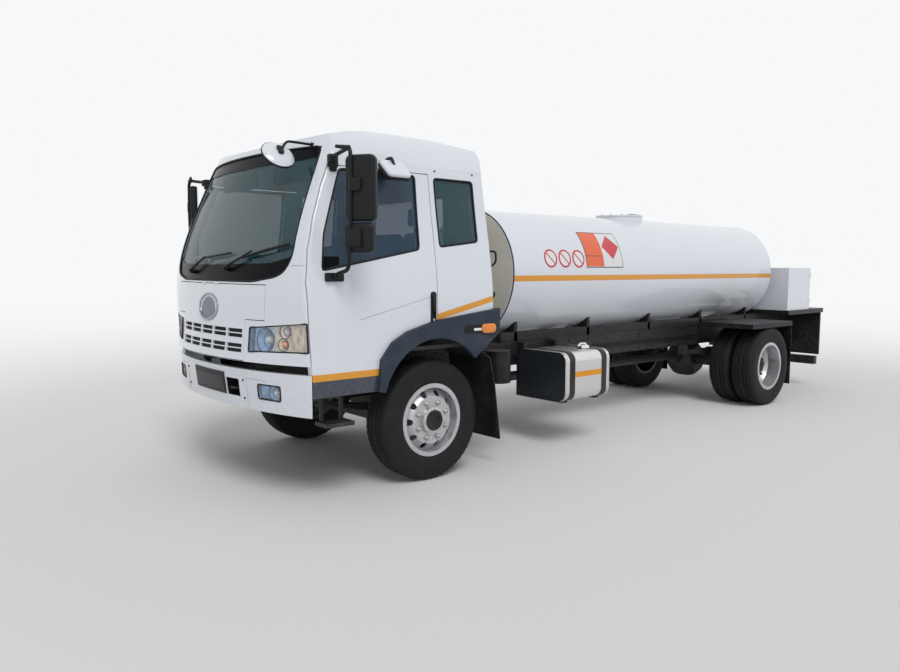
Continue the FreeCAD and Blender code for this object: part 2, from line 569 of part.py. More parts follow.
def frame():
    """Two channel rails, their cross members and the horns that carry the bumper."""
    x = (behind("rail_rear_behind"), ahead("rail_front_ahead"))
    solid = box("rail_solid", x, ("rail_y - rail_flange", "rail_y"), ("rail_low", "rail_top"))
    hollow = box("rail_hollow", (f"{x[0]} - cut_over", f"{x[1]} + cut_over"),
                 ("rail_y - rail_flange - cut_over", "rail_y - rail_web"),
                 ("rail_low + rail_web", "rail_top - rail_web"))
    rail = cut("rail", solid, hollow)
    middle = "(rail_low + rail_top)/2"
    stations = [ahead("rail_front_ahead - cross_length*1.5"), behind("gearbox_cross_behind"),
                behind("silencer_front_behind"), f"{REAR_AXLE} + rear_spring_half + cross_length",
                f"{REAR_AXLE} - rear_spring_half", behind("rail_rear_behind - cross_length/2")]
    crosses = [box(f"cross{k}", (f"{at} - cross_length/2", f"{at} + cross_length/2"),
                   ("-rail_y + rail_web", "rail_y - rail_web"),
                   (f"{middle} - cross_depth/2", f"{middle} + cross_depth/2"))
               for k, at in enumerate(stations)]
    horn = box("horn", (f"{x[1]} - rail_flange", f"{x[1]} + horn_length"),
               ("rail_y - rail_web - horn_width", "rail_y - rail_web"), ("horn_low", "horn_top"))
    bracket = box("pivot_bracket", (f"{ahead('pivot_ahead')} - pivot_half",
                                    f"{ahead('pivot_ahead')} + pivot_half"),
                  ("rail_y - rail_web - horn_width*0.7", "rail_y - rail_web"),
                  ("horn_low", "pivot_z + pivot_half"))
    pin = rod("pivot_rod", "Y", "pivot_pin", ("rail_y - rail_web - horn_width/2", "pivot_arm_out"),
              (ahead("pivot_ahead"), "pivot_z"))
    post = box("cab_post", (behind("post_behind"), behind("post_behind - post_length")),
               ("rail_y - post_width", "rail_y"), ("rail_top", "floor_z - seat_gap"))
    left = fuse("frame_left", rail, horn, bracket, pin, post)
    return fuse("chassis_frame", left, mirrored("frame_right", left), *crosses)


def engine():
    block = box("engine_mass", (behind("engine_behind"), ahead("engine_ahead")),
                ("-engine_half", "engine_half"), ("engine_low", "engine_top"))
    gearbox = box("gearbox", (behind("gearbox_behind"), behind("engine_behind")),
                  ("-gearbox_half", "gearbox_half"), ("gearbox_low", "gearbox_top"))
    reach = "rail_y - rail_web - seat_gap"
    middle = "(rail_low + rail_top)/2"
    feet = [box(f"mount{k}", (f"{x} - mount_length/2", f"{x} + mount_length/2"),
                (f"-({reach})", reach), (f"{middle} - mount_depth/2", f"{middle} + mount_depth/2"))
            for k, x in enumerate((ahead("engine_ahead - mount_length"),
                                   behind("engine_behind - mount_length")))]
    return fuse("engine_block", block, gearbox, *feet)


def drive_shaft():
    front, rear = behind("gearbox_behind"), f"{REAR_AXLE} + pinion_reach"
    tube = rod("shaft_tube", "X", "shaft_radius", (f"{rear} + seat_gap", f"{front} - seat_gap"),
               ("0", "shaft_z"))
    flanges = [rod(f"shaft_flange{k}", "X", "pinion_radius*0.8", span, ("0", "shaft_z"))
               for k, span in enumerate(((f"{rear} + seat_gap", f"{rear} + seat_gap + pad_depth"),
                                         (f"{front} - seat_gap - pad_depth", f"{front} - seat_gap")))]
    return fuse("drive_shaft", tube, *flanges)


# Tank

def tank():
    """A round barrel along X with a shallow dished end at each end."""
    front, rear = behind("barrel_front_behind"), behind("barrel_rear_behind")
    barrel = rod("barrel", "X", "tank_radius", (rear, front), ("0", "tank_z"))
    dish = "((tank_radius^2 + dish_depth^2)/(2*dish_depth))"
    pieces = [barrel]
    for label, edge, sign in (("front", front, "+"), ("rear", rear, "-")):
        ball = doc.addObject("Part::Sphere", f"dish_{label}_ball")
        ball.Placement = Placement(Vector(), ALONG["X"])
        ball.setExpression("Radius", bound(dish))
        centre = (f"{edge} {sign} dish_depth", "0", "tank_z")
        back = "-" if sign == "+" else "+"
        for base, value in zip("xyz", (f"{centre[0]} {back} {dish}", "0", "tank_z")):
            ball.setExpression(f"Placement.Base.{base}", bound(value))
        span = (f"{edge} - dish_depth", f"{edge} + dish_depth")
        room = rod(f"dish_{label}_room", "X", "tank_radius", span, ("0", "tank_z"))
        pieces.append(common(f"dish_{label}", ball, room))
    top = "tank_z + tank_radius"
    collar = rod("collar", "Z", "manway_radius", (f"{top} - collar_depth*4", f"{top} + collar_depth"),
                 (behind("manway_behind"), "0"))
    mouth = rod("mouth", "Z", "manway_radius - collar_wall",
                (f"{top} - collar_depth*3", f"{top} + collar_depth*2"),
                (behind("manway_behind"), "0"))
    return cut("tank_shell", fuse("tank_solid", *pieces, collar), mouth)


def manlid():
    """A flat round lid in the collar, on a hinge lug at its right side."""
    x, top = behind("manway_behind"), "tank_z + tank_radius"
    z = (f"{top} + collar_depth + seat_gap", f"{top} + collar_depth + seat_gap + lid_depth")
    plate = rod("lid_plate", "Z", "lid_radius", z, (x, "0"))
    lug = box("lid_lug", (f"{x} - lid_lug_half", f"{x} + lid_lug_half"),
              ("-lid_hinge - lid_depth", "0"), z)
    return fuse("manlid", plate, lug)


def tank_frame():
    """Bearers on the rails and saddles that the barrel lies in."""
    rear, front = behind("rail_rear_behind"), behind("barrel_front_behind + saddle_length")
    bearer = box("bearer", (rear, front), ("rail_y - bearer_width", "rail_y"),
                 ("rail_top", "rail_top + bearer_depth"))
    count = int(size.saddles)
    span = "(barrel_rear_behind - barrel_front_behind - 2*saddle_margin)"
    saddles = []
    for i in range(count):
        x = behind(f"barrel_front_behind + saddle_margin + {i}*{span}/{count - 1}")
        points = [("-saddle_half", "saddle_top"), ("-rail_y", "rail_top"),
                  ("rail_y", "rail_top"), ("saddle_half", "saddle_top")]
        saddles.append(prism(f"saddle{i}", "YZ_Plane", points, f"{x} - saddle_length/2",
                             f"{x} + saddle_length/2"))
    solid = fuse("tank_frame_solid", bearer, mirrored("bearer_right", bearer), *saddles)
    room = rod("saddle_room", "X", "tank_radius + seat_gap",
               (rear + " - cut_over", front + " + cut_over"), ("0", "tank_z"))
    return cut("tank_subframe", solid, room)


# Rear deck, cabinet and tail

def deck():
    x = (behind("deck_rear_behind"), behind("deck_front_behind"))
    y = ("-deck_half", "deck_half")
    low = "rail_top + bearer_depth"
    solid = box("deck_solid", x, y, (low, "deck_top"))
    room = box("deck_room", (f"{x[0]} + deck_skirt", f"{x[1]} - deck_skirt"),
               ("-deck_half + deck_skirt", "deck_half - deck_skirt"),
               (f"{low} - cut_over", "deck_top - deck_plate"))
    ribs = [box(f"deck_rib{k}", (f"{x[0]} + deck_skirt", f"{x[1]} - deck_skirt"), span,
                (low, "deck_top - deck_plate"))
            for k, span in enumerate((("rail_y - bearer_width", "rail_y"),
                                      ("-rail_y", "-rail_y + bearer_width")))]
    tread = box("deck_tread", (x[0], behind("cabinet_rear_behind + tread_gap")), y,
                ("deck_top", "deck_top + tread_depth"))
    return fuse("rear_deck", cut("deck_tray", solid, room), tread, *ribs)


def cabinet():
    """A hollow cabinet on the deck, open at the back where its two doors close it."""
    x = (behind("cabinet_rear_behind"), behind("cabinet_front_behind"))
    y = ("-cabinet_half", "cabinet_half")
    solid = box("cabinet_solid", x, y, ("deck_top", "cabinet_top"))
    room = box("cabinet_room", (f"{x[0]} + cabinet_wall", f"{x[1]} - cabinet_wall"),
               ("-cabinet_half + cabinet_wall", "cabinet_half - cabinet_wall"),
               ("deck_top + cabinet_wall", "cabinet_top - cabinet_wall"))
    mouth = box("cabinet_mouth", (f"{x[0]} - cut_over", f"{x[1]} - cabinet_wall*2"),
                ("-cabinet_half + cabinet_wall + cabinet_lip",
                 "cabinet_half - cabinet_wall - cabinet_lip"),
                ("deck_top + cabinet_wall + cabinet_lip", "cabinet_top - cabinet_wall - cabinet_lip"))
    pin_x = f"({x[0]} - move_gap - cabinet_door/2)"
    holders = []
    for k, at in enumerate(("cabinet_hinge_low", "cabinet_hinge_high")):
        holders.append(rod(f"cabinet_pin{k}", "Z", "hinge_pin",
                           (f"{at} - hinge_length", f"{at} + hinge_length"),
                           (pin_x, "cabinet_pin_y")))
        for end, sign in enumerate(("-", "+")):
            span = [f"{at} {sign} hinge_length", f"{at} {sign} (hinge_length/3 + seat_gap)"]
            span = span if sign == "-" else span[::-1]
            holders += [rod(f"cabinet_barrel{k}{end}", "Z", "hinge_radius", span,
                            (pin_x, "cabinet_pin_y")),
                        box(f"cabinet_strap{k}{end}", (pin_x, f"{x[0]} + hinge_length"),
                            ("cabinet_half - running_fit", "cabinet_pin_y + hinge_radius"), span)]
    left = fuse("cabinet_hinges", *holders)
    return fuse("pump_cabinet", cut("cabinet_case", solid, room, mouth), left,
                mirrored("cabinet_hinges_right", left))


def cabinet_door():
    """The left door with its hinge knuckles, notched where the cabinet's knuckles stand."""
    x = behind("cabinet_rear_behind")
    plate = box("cabinet_door_plate", (f"{x} - cabinet_door - move_gap", f"{x} - move_gap"),
                ("door_seam", "cabinet_half - cabinet_hinge*2"),
                ("deck_top + cabinet_wall/2", "cabinet_top - cabinet_wall/2"))
    pin_x = f"({x} - move_gap - cabinet_door/2)"
    notches, knuckles, bores = [], [], []
    for k, at in enumerate(("cabinet_hinge_low", "cabinet_hinge_high")):
        notches.append(box(f"cabinet_notch{k}", (f"{x} - cabinet_door*2", x),
                           ("cabinet_half - hinge_radius*2 - cabinet_hinge", "cabinet_half"),
                           (f"{at} - hinge_length", f"{at} + hinge_length")))
        span = (f"{at} - hinge_length/3", f"{at} + hinge_length/3")
        knuckles += [rod(f"cabinet_knuckle{k}", "Z", "hinge_radius", span,
                         (pin_x, "cabinet_pin_y")),
                     box(f"cabinet_leaf{k}", (f"{pin_x} - hinge_radius/2", f"{pin_x} + hinge_radius/2"),
                         ("cabinet_pin_y - hinge_radius*4", "cabinet_pin_y"), span)]
        bores.append(rod(f"cabinet_bore{k}", "Z", "hinge_pin + running_fit",
                         (f"{at} - hinge_length", f"{at} + hinge_length"),
                         (pin_x, "cabinet_pin_y")))
    plate = cut("cabinet_plate_cut", plate, *notches)
    return cut("cabinet_door_left", fuse("cabinet_door_solid", plate, *knuckles), *bores)


def tail():
    x = behind("rail_rear_behind")
    panel = box("rear_panel_sheet", (f"{x} - tail_panel_depth", x),
                ("-tail_panel_half", "tail_panel_half"),
                ("tail_panel_low", "rail_top + bearer_depth - seat_gap"))
    plate = box("plate_back", (f"{x} - tail_panel_depth - plate_back_depth",
                f"{x} - tail_panel_depth"), ("-plate_back_half", "plate_back_half"),
                ("plate_back_low", "plate_back_top"))
    node("rear_panel", fuse("rear_panel_solid", panel, plate))
    bar_x = (behind("underrun_rear_behind"), behind("underrun_rear_behind - underrun_depth"))
    bar = box("underrun_beam", bar_x, ("-underrun_half", "underrun_half"),
              ("underrun_low", "underrun_top"))
    arm = box("underrun_arm", (bar_x[0], f"{bar_x[0]} + arm_length"),
              ("rail_y - arm_width", "rail_y"), ("underrun_low + cut_over", "rail_low"))
    node("underrun_bar", fuse("underrun_bar", bar, arm, mirrored("underrun_arm_right", arm)))
    lamp = box("tail_lamp", (f"{x} - tail_panel_depth - tail_lamp_depth", f"{x} - tail_panel_depth"),
               ("tail_lamp_in", "tail_lamp_out"), ("tail_lamp_low", "tail_lamp_high"))
    node("tail_lamps", both_sides("tail_lamps", lamp))


# Guards, steps and what hangs on the frame

def rear_guard():
    """A flat table over the twin tyres with a lip all round, a flap and two stays."""
    x = (f"{REAR_AXLE} - guard_back", f"{REAR_AXLE} + guard_ahead")
    solid = box("guard_solid", x, ("guard_in", "guard_out"), ("guard_top - guard_lip", "guard_top"))
    room = box("guard_room", (f"{x[0]} + guard_plate", f"{x[1]} - guard_plate"),
               ("guard_in + guard_plate", "guard_out - guard_plate"),
               ("guard_top - guard_lip - cut_over", "guard_top - guard_plate"))
    notch = box("guard_notch", (f"{REAR_AXLE} - tyre_radius/2", f"{REAR_AXLE} + tyre_radius/2"),
                ("guard_in - cut_over", "guard_in + cut_over"),
                ("guard_top - guard_lip - cut_over", "guard_top - guard_plate"))
    flap = box("rear_flap", (x[0], f"{x[0]} + flap_plate"), ("flap_in", "guard_out - guard_plate"),
               ("flap_low", "guard_top - guard_plate"))
    stays = [rod(f"rear_stay{k}", "Y", "stay_radius",
                 ("rail_y + seat_gap", "guard_in + guard_plate"),
                 (f"{REAR_AXLE} {sign} (tyre_radius*0.8)", "guard_top - guard_lip/2 - stay_radius/2"))
             for k, sign in enumerate(("+", "-"))]
    return fuse("rear_guard", cut("guard_tray", solid, room, notch), flap, *stays)


def front_guard():
    """A bent plate behind the front wheel that runs down into a flap."""
    run = [("tyre_radius*0.83", "tyre_radius*2 + flap_plate*8"),
           ("tyre_radius*1.11", "tyre_radius*1.95"), ("tyre_radius*1.22", "tyre_radius*1.5"),
           ("tyre_radius*1.36", "flap_low + rail_web*4")]
    near = [(f"axle_x - {back}", up) for back, up in run]
    far = [(f"axle_x - {back} - flap_plate*1.5", f"{up} + flap_plate*0.4") for back, up in run]
    plate = prism("front_guard_plate", "XZ_Plane", near + far[::-1], "front_guard_in",
                  "front_guard_out")
    stay = rod("front_stay", "Y", "stay_radius", ("rail_y + seat_gap", "front_guard_out*0.8"),
               ("axle_x - tyre_radius*1.22 - stay_radius/2", "rail_low + stay_radius*2"))
    return fuse("front_guard", plate, stay)


def steps():
    """A tread under each door on two bent bars from the frame."""
    tread = box("tread", (ahead("step_rear_ahead"), ahead("step_front_ahead")),
                ("step_in", "step_out"), ("step_low", "step_top"))
    bars = []
    for k, x in enumerate((ahead("step_rear_ahead + hanger_inset"),
                           ahead("step_front_ahead - hanger_inset - hanger_bar"))):
        bars.append(box(f"step_drop{k}", (x, f"{x} + hanger_bar"),
                        ("step_in + hanger_inset", "step_in + hanger_inset + hanger_bar"),
                        ("step_top - hanger_bar/2", "hanger_top")))
        bars.append(box(f"step_reach{k}", (x, f"{x} + hanger_bar"),
                        ("rail_y + seat_gap", "step_in + hanger_inset + hanger_bar"),
                        ("hanger_top - hanger_bar", "hanger_top")))
    return fuse("step_left", tread, *bars)


def fuel_tank():
    x = (behind("fuel_rear_behind"), behind("fuel_front_behind"))
    body = rounded_bar("fuel_body", x, ("fuel_in", "fuel_out"), ("fuel_low", "fuel_top"),
                       "fuel_round")
    cap = rod("fuel_cap", "Z", "fuel_cap_radius", ("fuel_top - fuel_cap_rise",
              "fuel_top + fuel_cap_rise"), (behind("fuel_cap_behind"), "fuel_cap_y"))
    node("fuel_tank", fuse("fuel_tank", body, cap))
    pieces = []
    for k, at in enumerate(("strap_front_behind", "strap_rear_behind")):
        span = (behind(f"{at} + strap_width"), behind(at))
        outer = rounded_bar(f"strap_out{k}", span,
                            ("fuel_in - strap_depth", "fuel_out + strap_depth"),
                            ("fuel_low - strap_depth", "fuel_top + strap_depth"), "fuel_round")
        post = box(f"bracket_post{k}", span, ("rail_y + seat_gap", "fuel_in - strap_depth/2"),
                   ("fuel_low - bracket_foot", "rail_top - rail_web"))
        foot = box(f"bracket_foot{k}", span, ("rail_y + seat_gap", "fuel_out - fuel_round"),
                   ("fuel_low - bracket_foot", "fuel_low - strap_depth/2"))
        pieces += [outer, post, foot]
    solid = fuse("bracket_solid", *pieces)
    room = rounded_bar("strap_room", (f"{x[0]} - cut_over", f"{x[1]} + cut_over"),
                       ("fuel_in - seat_gap", "fuel_out + seat_gap"),
                       ("fuel_low - seat_gap", "fuel_top + seat_gap"), "fuel_round")
    node("fuel_tank_brackets", cut("fuel_tank_brackets", solid, room))


def right_side_gear():
    """Battery box, air tanks and silencer along the right rail."""
    rail = "-rail_y - seat_gap"
    body = box("battery_body", (behind("battery_rear_behind"), behind("battery_front_behind")),
               ("-battery_out", "-battery_in"), ("battery_low", "battery_top"))
    arms = [box(f"battery_arm{k}", (f"{x}", f"{x} + mount_depth"), ("-battery_in", rail),
                ("rail_low", "battery_top - mount_depth"))
            for k, x in enumerate((behind("battery_rear_behind - mount_depth"),
                                   behind("battery_front_behind + mount_depth*2")))]
    node("battery_box", fuse("battery_box", body, *arms))
    x = (behind("air_tank_rear_behind"), behind("air_tank_front_behind"))
    tanks = [rod(f"air_tank{k}", "X", "air_tank_radius", x, (f"-air_tank_y - {k}*air_tank_pitch",
             "air_tank_z")) for k in range(2)]
    hooks = [box(f"air_hook{k}", (f"{at} - mount_depth/2", f"{at} + mount_depth/2"),
                 ("-air_tank_y - air_tank_pitch", rail),
                 ("air_tank_z - mount_depth/2", "air_tank_z + mount_depth/2"))
             for k, at in enumerate((f"{x[0]} + mount_length", f"{x[1]} - mount_length"))]
    node("air_tanks", fuse("air_tanks", *tanks, *hooks))
    x = (behind("silencer_rear_behind"), behind("silencer_front_behind"))
    drum = rod("silencer", "X", "silencer_radius", x, ("-silencer_y", "silencer_z"))
    pipe = rod("tail_pipe", "Y", "pipe_radius", ("-pipe_out", "-silencer_y"),
               (behind("pipe_behind"), "silencer_z"))
    hooks = [box(f"silencer_hook{k}", (f"{at} - mount_depth/2", f"{at} + mount_depth/2"),
                 ("-silencer_y", rail), ("silencer_z - mount_depth/2", "silencer_z + mount_depth/2"))
             for k, at in enumerate((f"{x[0]} + mount_length", f"{x[1]} - mount_length"))]
    node("exhaust_silencer", fuse("exhaust_silencer", drum, pipe, *hooks))


def air_cleaner():
    can = rod("cleaner_can", "Z", "cleaner_radius", ("cleaner_low", "cleaner_top"),
              (behind("cleaner_behind"), "cleaner_y"))
    middle = "(cleaner_low + cleaner_top)/2"
    bar = box("cleaner_arm", (f"{behind('cleaner_behind')} - cleaner_bar/2",
                              f"{behind('cleaner_behind')} + cleaner_bar/2"),
              ("rail_y + seat_gap", "cleaner_y"), (f"{middle} - cleaner_bar", f"{middle} + cleaner_bar"))
    return fuse("air_cleaner", can, bar)


# Cab, worked out in code because its walls follow one curved block

BOW_SHARE, BOW_POWER = 0.75, 3.2
FRONT_SHARES = (-1, -0.75, -0.4, 0, 0.4, 0.75, 1)
FRONT_END_SHARE = 0.96
CORNER_SHARE = 0.9
GRILLE_ROWS, GRILLE_COLUMNS = 2, 5


def bow(share):
    """How far the front falls back from its middle, as a share of the fall at the corner."""
    return BOW_SHARE * share**2 + (1 - BOW_SHARE) * abs(share) ** BOW_POWER


def front_curve(z, nose, corner, half, end_share):
    """The front in plan: a bowed curve that stops at a share of the half width."""
    curve = Part.BSplineCurve()
    curve.interpolate(Points=[
        Vector(nose - (nose - corner) * bow(u * end_share), half * u * end_share, z)
        for u in FRONT_SHARES])
    return curve.toShape()


def corner_curve(start, slope, end):
    """A round corner from the front's end, along its slope, to the start of the side."""
    run = abs(end.y - start.y) * CORNER_SHARE
    middle = Vector(start.x - run * slope, end.y, end.z)
    curve = Part.BezierCurve()
    curve.setPoles([start, middle, end])
    return curve


def cab_section(level, front_in, side_in, rear_in):
    """The cab's outline at one level, set in by the three wall depths."""
    z, nose, corner, half = (getattr(size, f"level{level}_{part}")
                             for part in ("z", "nose", "corner", "half"))
    nose += size.axle_x - front_in
    corner += size.axle_x - front_in
    half -= side_in
    lean = size.cab_rear_lean * (z - size.level1_z) / (size.level9_z - size.level1_z)
    rear = size.axle_x - size.cab_rear_behind + lean + rear_in
    turn = size.rear_round
    dip = turn * (1 - math.sqrt(0.5))
    side_start = corner - size.corner_round

    def rear_arc(sign):
        ends = [Vector(rear + turn, sign * half, z), Vector(rear, sign * (half - turn), z)]
        middle = Vector(rear + dip, sign * (half - dip), z)
        return Part.Arc(*([ends[0], middle, ends[1]] if sign > 0
                          else [ends[1], middle, ends[0]])).toShape()

    front = front_curve(z, nose, corner, half, FRONT_END_SHARE)
    right, left = (front.valueAt(place) for place in (front.FirstParameter, front.LastParameter))
    tangent = front.tangentAt(front.LastParameter)
    slope = abs(tangent.x / tangent.y)
    left_round = corner_curve(left, slope, Vector(side_start, half, z))
    right_round = corner_curve(right, slope, Vector(side_start, -half, z))
    right_round.setPoles(right_round.getPoles()[::-1])
    edges = [front, left_round.toShape(),
             Part.makeLine(Vector(side_start, half, z), Vector(rear + turn, half, z)), rear_arc(1),
             Part.makeLine(Vector(rear, half - turn, z), Vector(rear, turn - half, z)),
             rear_arc(-1),
             Part.makeLine(Vector(rear + turn, -half, z), Vector(side_start, -half, z)),
             right_round.toShape()]
    return Part.Wire(edges)


LOFT_DEGREE = 3


def cab_block(front_in=0, side_in=0, rear_in=0):
    """The whole cab as one solid, set in by wall depths."""
    wires = [cab_section(level, front_in, side_in, rear_in) for level in range(1, 10)]
    return Part.makeLoft(wires, True, False, False, LOFT_DEGREE)


def side_prism(points, low, high):
    """A solid of a side outline, given forward of the front axle and up, between two Y."""
    spots = [Vector(size.axle_x + x, low, z) for x, z in points]
    face = Part.Face(Part.makePolygon(spots + spots[:1]))
    return face.extrude(Vector(0, high - low, 0))


def front_prism(points, low, high):
    """A solid of a front outline, in Y and Z, between two X measured from the front axle."""
    spots = [Vector(size.axle_x + low, y, z) for y, z in points]
    face = Part.Face(Part.makePolygon(spots + spots[:1]))
    return face.extrude(Vector(high - low, 0, 0))


def plain_box(x, y, z):
    """A box in code, with X measured from the front axle."""
    return Part.makeBox(x[1] - x[0], y[1] - y[0], z[1] - z[0],
                        Vector(size.axle_x + x[0], y[0], z[0]))


def other_side(shape):
    return shape.mirror(Vector(0, 0, 0), Vector(0, 1, 0))


def grown(points, gap):
    """An outline moved outward by a gap, for one that runs round its middle."""
    wire = Part.makePolygon([Vector(x, 0, z) for x, z in points + points[:1]])
    moved = wire.makeOffset2D(gap, 2)
    spots = [v.Point for v in Part.Wire(Part.sortEdges(moved.Edges)[0]).OrderedVertexes]
    return [(p.x, p.z) for p in spots]


def door_points():
    s = size
    return [(s.door_front_low, s.door_low), (s.door_front_low, s.bumper_top),
            (s.door_front_mid, s.level3_z), (s.door_front_belt, s.level4_z),
            (s.door_front_a, s.level5_z), (s.door_front_b, s.level6_z),
            (s.door_front_c, s.level7_z), (s.door_front_top, s.door_top),
            (s.door_rear, s.door_top), (s.door_rear, s.flare_d_z), (s.flare_c_ahead, s.flare_c_z),
            (s.flare_b_ahead, s.flare_b_z), (s.flare_a_ahead, s.flare_a_z),
            (s.flare_low_ahead, s.door_low)]


def door_window_points():
    s = size
    return [(s.win_front_low, s.win_front_low_z), (s.win_front_mid, s.win_front_mid_z),
            (s.win_front_top, s.win_top_z), (s.win_rear_top, s.win_top_z),
            (s.win_rear_low, s.win_rear_low_z)]


def quarter_points():
    s = size
    return [(-s.quarter_front, s.quarter_low), (-s.quarter_front, s.quarter_top),
            (-s.quarter_rear, s.quarter_top), (-s.quarter_rear, s.quarter_low_rear)]


def screen_points():
    s = size
    half = [(s.screen_half_low, s.screen_low), (s.screen_wing_y, s.screen_wing_z),
            (s.screen_turn_y, s.screen_turn_z), (s.screen_rise_y, s.screen_rise_z),
            (s.screen_side_y, s.screen_side_z), (s.screen_top_y, s.screen_top_z)]
    return half + [(-y, z) for y, z in reversed(half)]


def flap_points():
    s = size
    half = [(s.flap_half_low, s.flap_foot), (s.flap_half_low, s.flap_shoulder),
            (s.flap_half_top, s.flap_shoulder), (s.flap_half_top, s.flap_head)]
    return half + [(-y, z) for y, z in reversed(half)]


def grille_slots():
    """Two rows of five slots through the flap, each with a thin bar along its middle."""
    s = size
    slots = []
    for row in range(GRILLE_ROWS):
        low = s.grille_low + row * s.grille_rise
        middle = low + s.grille_height / 2
        for column in range(GRILLE_COLUMNS):
            left = (column - GRILLE_COLUMNS / 2) * s.grille_pitch + s.grille_rib / 2
            span = (left, left + s.grille_pitch - s.grille_rib)
            for z in ((low, middle - s.grille_bar / 2),
                      (middle + s.grille_bar / 2, low + s.grille_height)):
                slots.append(plain_box((s.firewall_ahead, s.level2_nose + s.cut_over), span, z))
    return slots


def lamp_points():
    s = size
    return [(s.lamp_in, s.lamp_bottom), (s.lamp_out, s.lamp_bottom_out),
            (s.lamp_out, s.lamp_head), (s.lamp_in, s.lamp_head_in)]


def arch_tool(low, high):
    """The round wheel arch cut, down past the cab's lower edge."""
    s = size
    radius = s.arch_radius
    disc = Part.makeCylinder(radius, high - low, Vector(s.axle_x + s.arch_ahead, low, s.arch_z),
                             Vector(0, 1, 0))
    below = plain_box((s.arch_ahead - radius, s.arch_ahead + radius), (low, high),
                      (s.level1_z - s.cut_over, s.arch_z + s.cut_over * 3))
    return disc.fuse(below)


def flare_points(rise):
    """The dark flare's outer edge, from its foot ahead of the wheel to the cab's rear."""
    s = size
    edge = [(s.flare_low_ahead, s.door_low), (s.flare_a_ahead, s.flare_a_z),
            (s.flare_b_ahead, s.flare_b_z), (s.flare_c_ahead, s.flare_c_z),
            (s.flare_d_ahead, s.flare_d_z), (-s.cab_rear_behind, s.flare_rear_z)]
    return [(x - rise, z - rise) for x, z in edge] + [
        (-s.cab_rear_behind, s.flare_edge_z), (-s.flare_tip_behind, s.flare_tip_z),
        (s.arch_ahead, s.arch_z)]


def largest(shape):
    """The solids of a shape, without slivers."""
    solids = sorted(shape.Solids, key=lambda solid: solid.Volume, reverse=True)
    kept = [solid for solid in solids if solid.Volume > solids[0].Volume / 200]
    return kept[0] if len(kept) == 1 else Part.makeCompound(kept)


def flap_hinges():
    """Two hinges at the flap's head: what the cab holds, what the flap holds and the notches."""
    s = size
    held, moving, cab_notches, flap_notches = [], [], [], []
    third, play, radius = s.hinge_length / 3, s.seat_gap, s.hinge_radius
    for centre in (-s.flap_hinge_y, s.flap_hinge_y):
        pin = Vector(s.axle_x + s.flap_hinge_ahead, centre, s.flap_head + s.move_gap)

        def barrel(low, high, across):
            return Part.makeCylinder(across, high - low, pin + Vector(0, low, 0), Vector(0, 1, 0))

        def block(low, high, down, up, back, front):
            return Part.makeBox(front - back, high - low, up - down, pin + Vector(back, low, down))
        held.append(barrel(-1.5 * third, 1.5 * third, s.hinge_pin))
        for low in (-1.5 * third, 0.5 * third + play):
            high = low + third - play
            held += [barrel(low, high, radius),
                     block(low, high, 0, 2 * radius, -2 * radius, radius / 2)]
            flap_notches.append(block(low - play, high + play, -radius * 1.3, radius, -4 * radius,
                                      2 * radius))
        knuckle = barrel(-third / 2, third / 2, radius).fuse(
            block(-third / 2, third / 2, -2.5 * radius, 0, -radius / 2, radius / 2))
        moving.append(knuckle.cut(barrel(-third, third, s.hinge_pin + s.running_fit)))
        cab_notches.append(block(-third / 2 - play, third / 2 + play, -radius, radius * 1.3,
                                 -4 * radius, 2 * radius))
    return held, moving, cab_notches, flap_notches


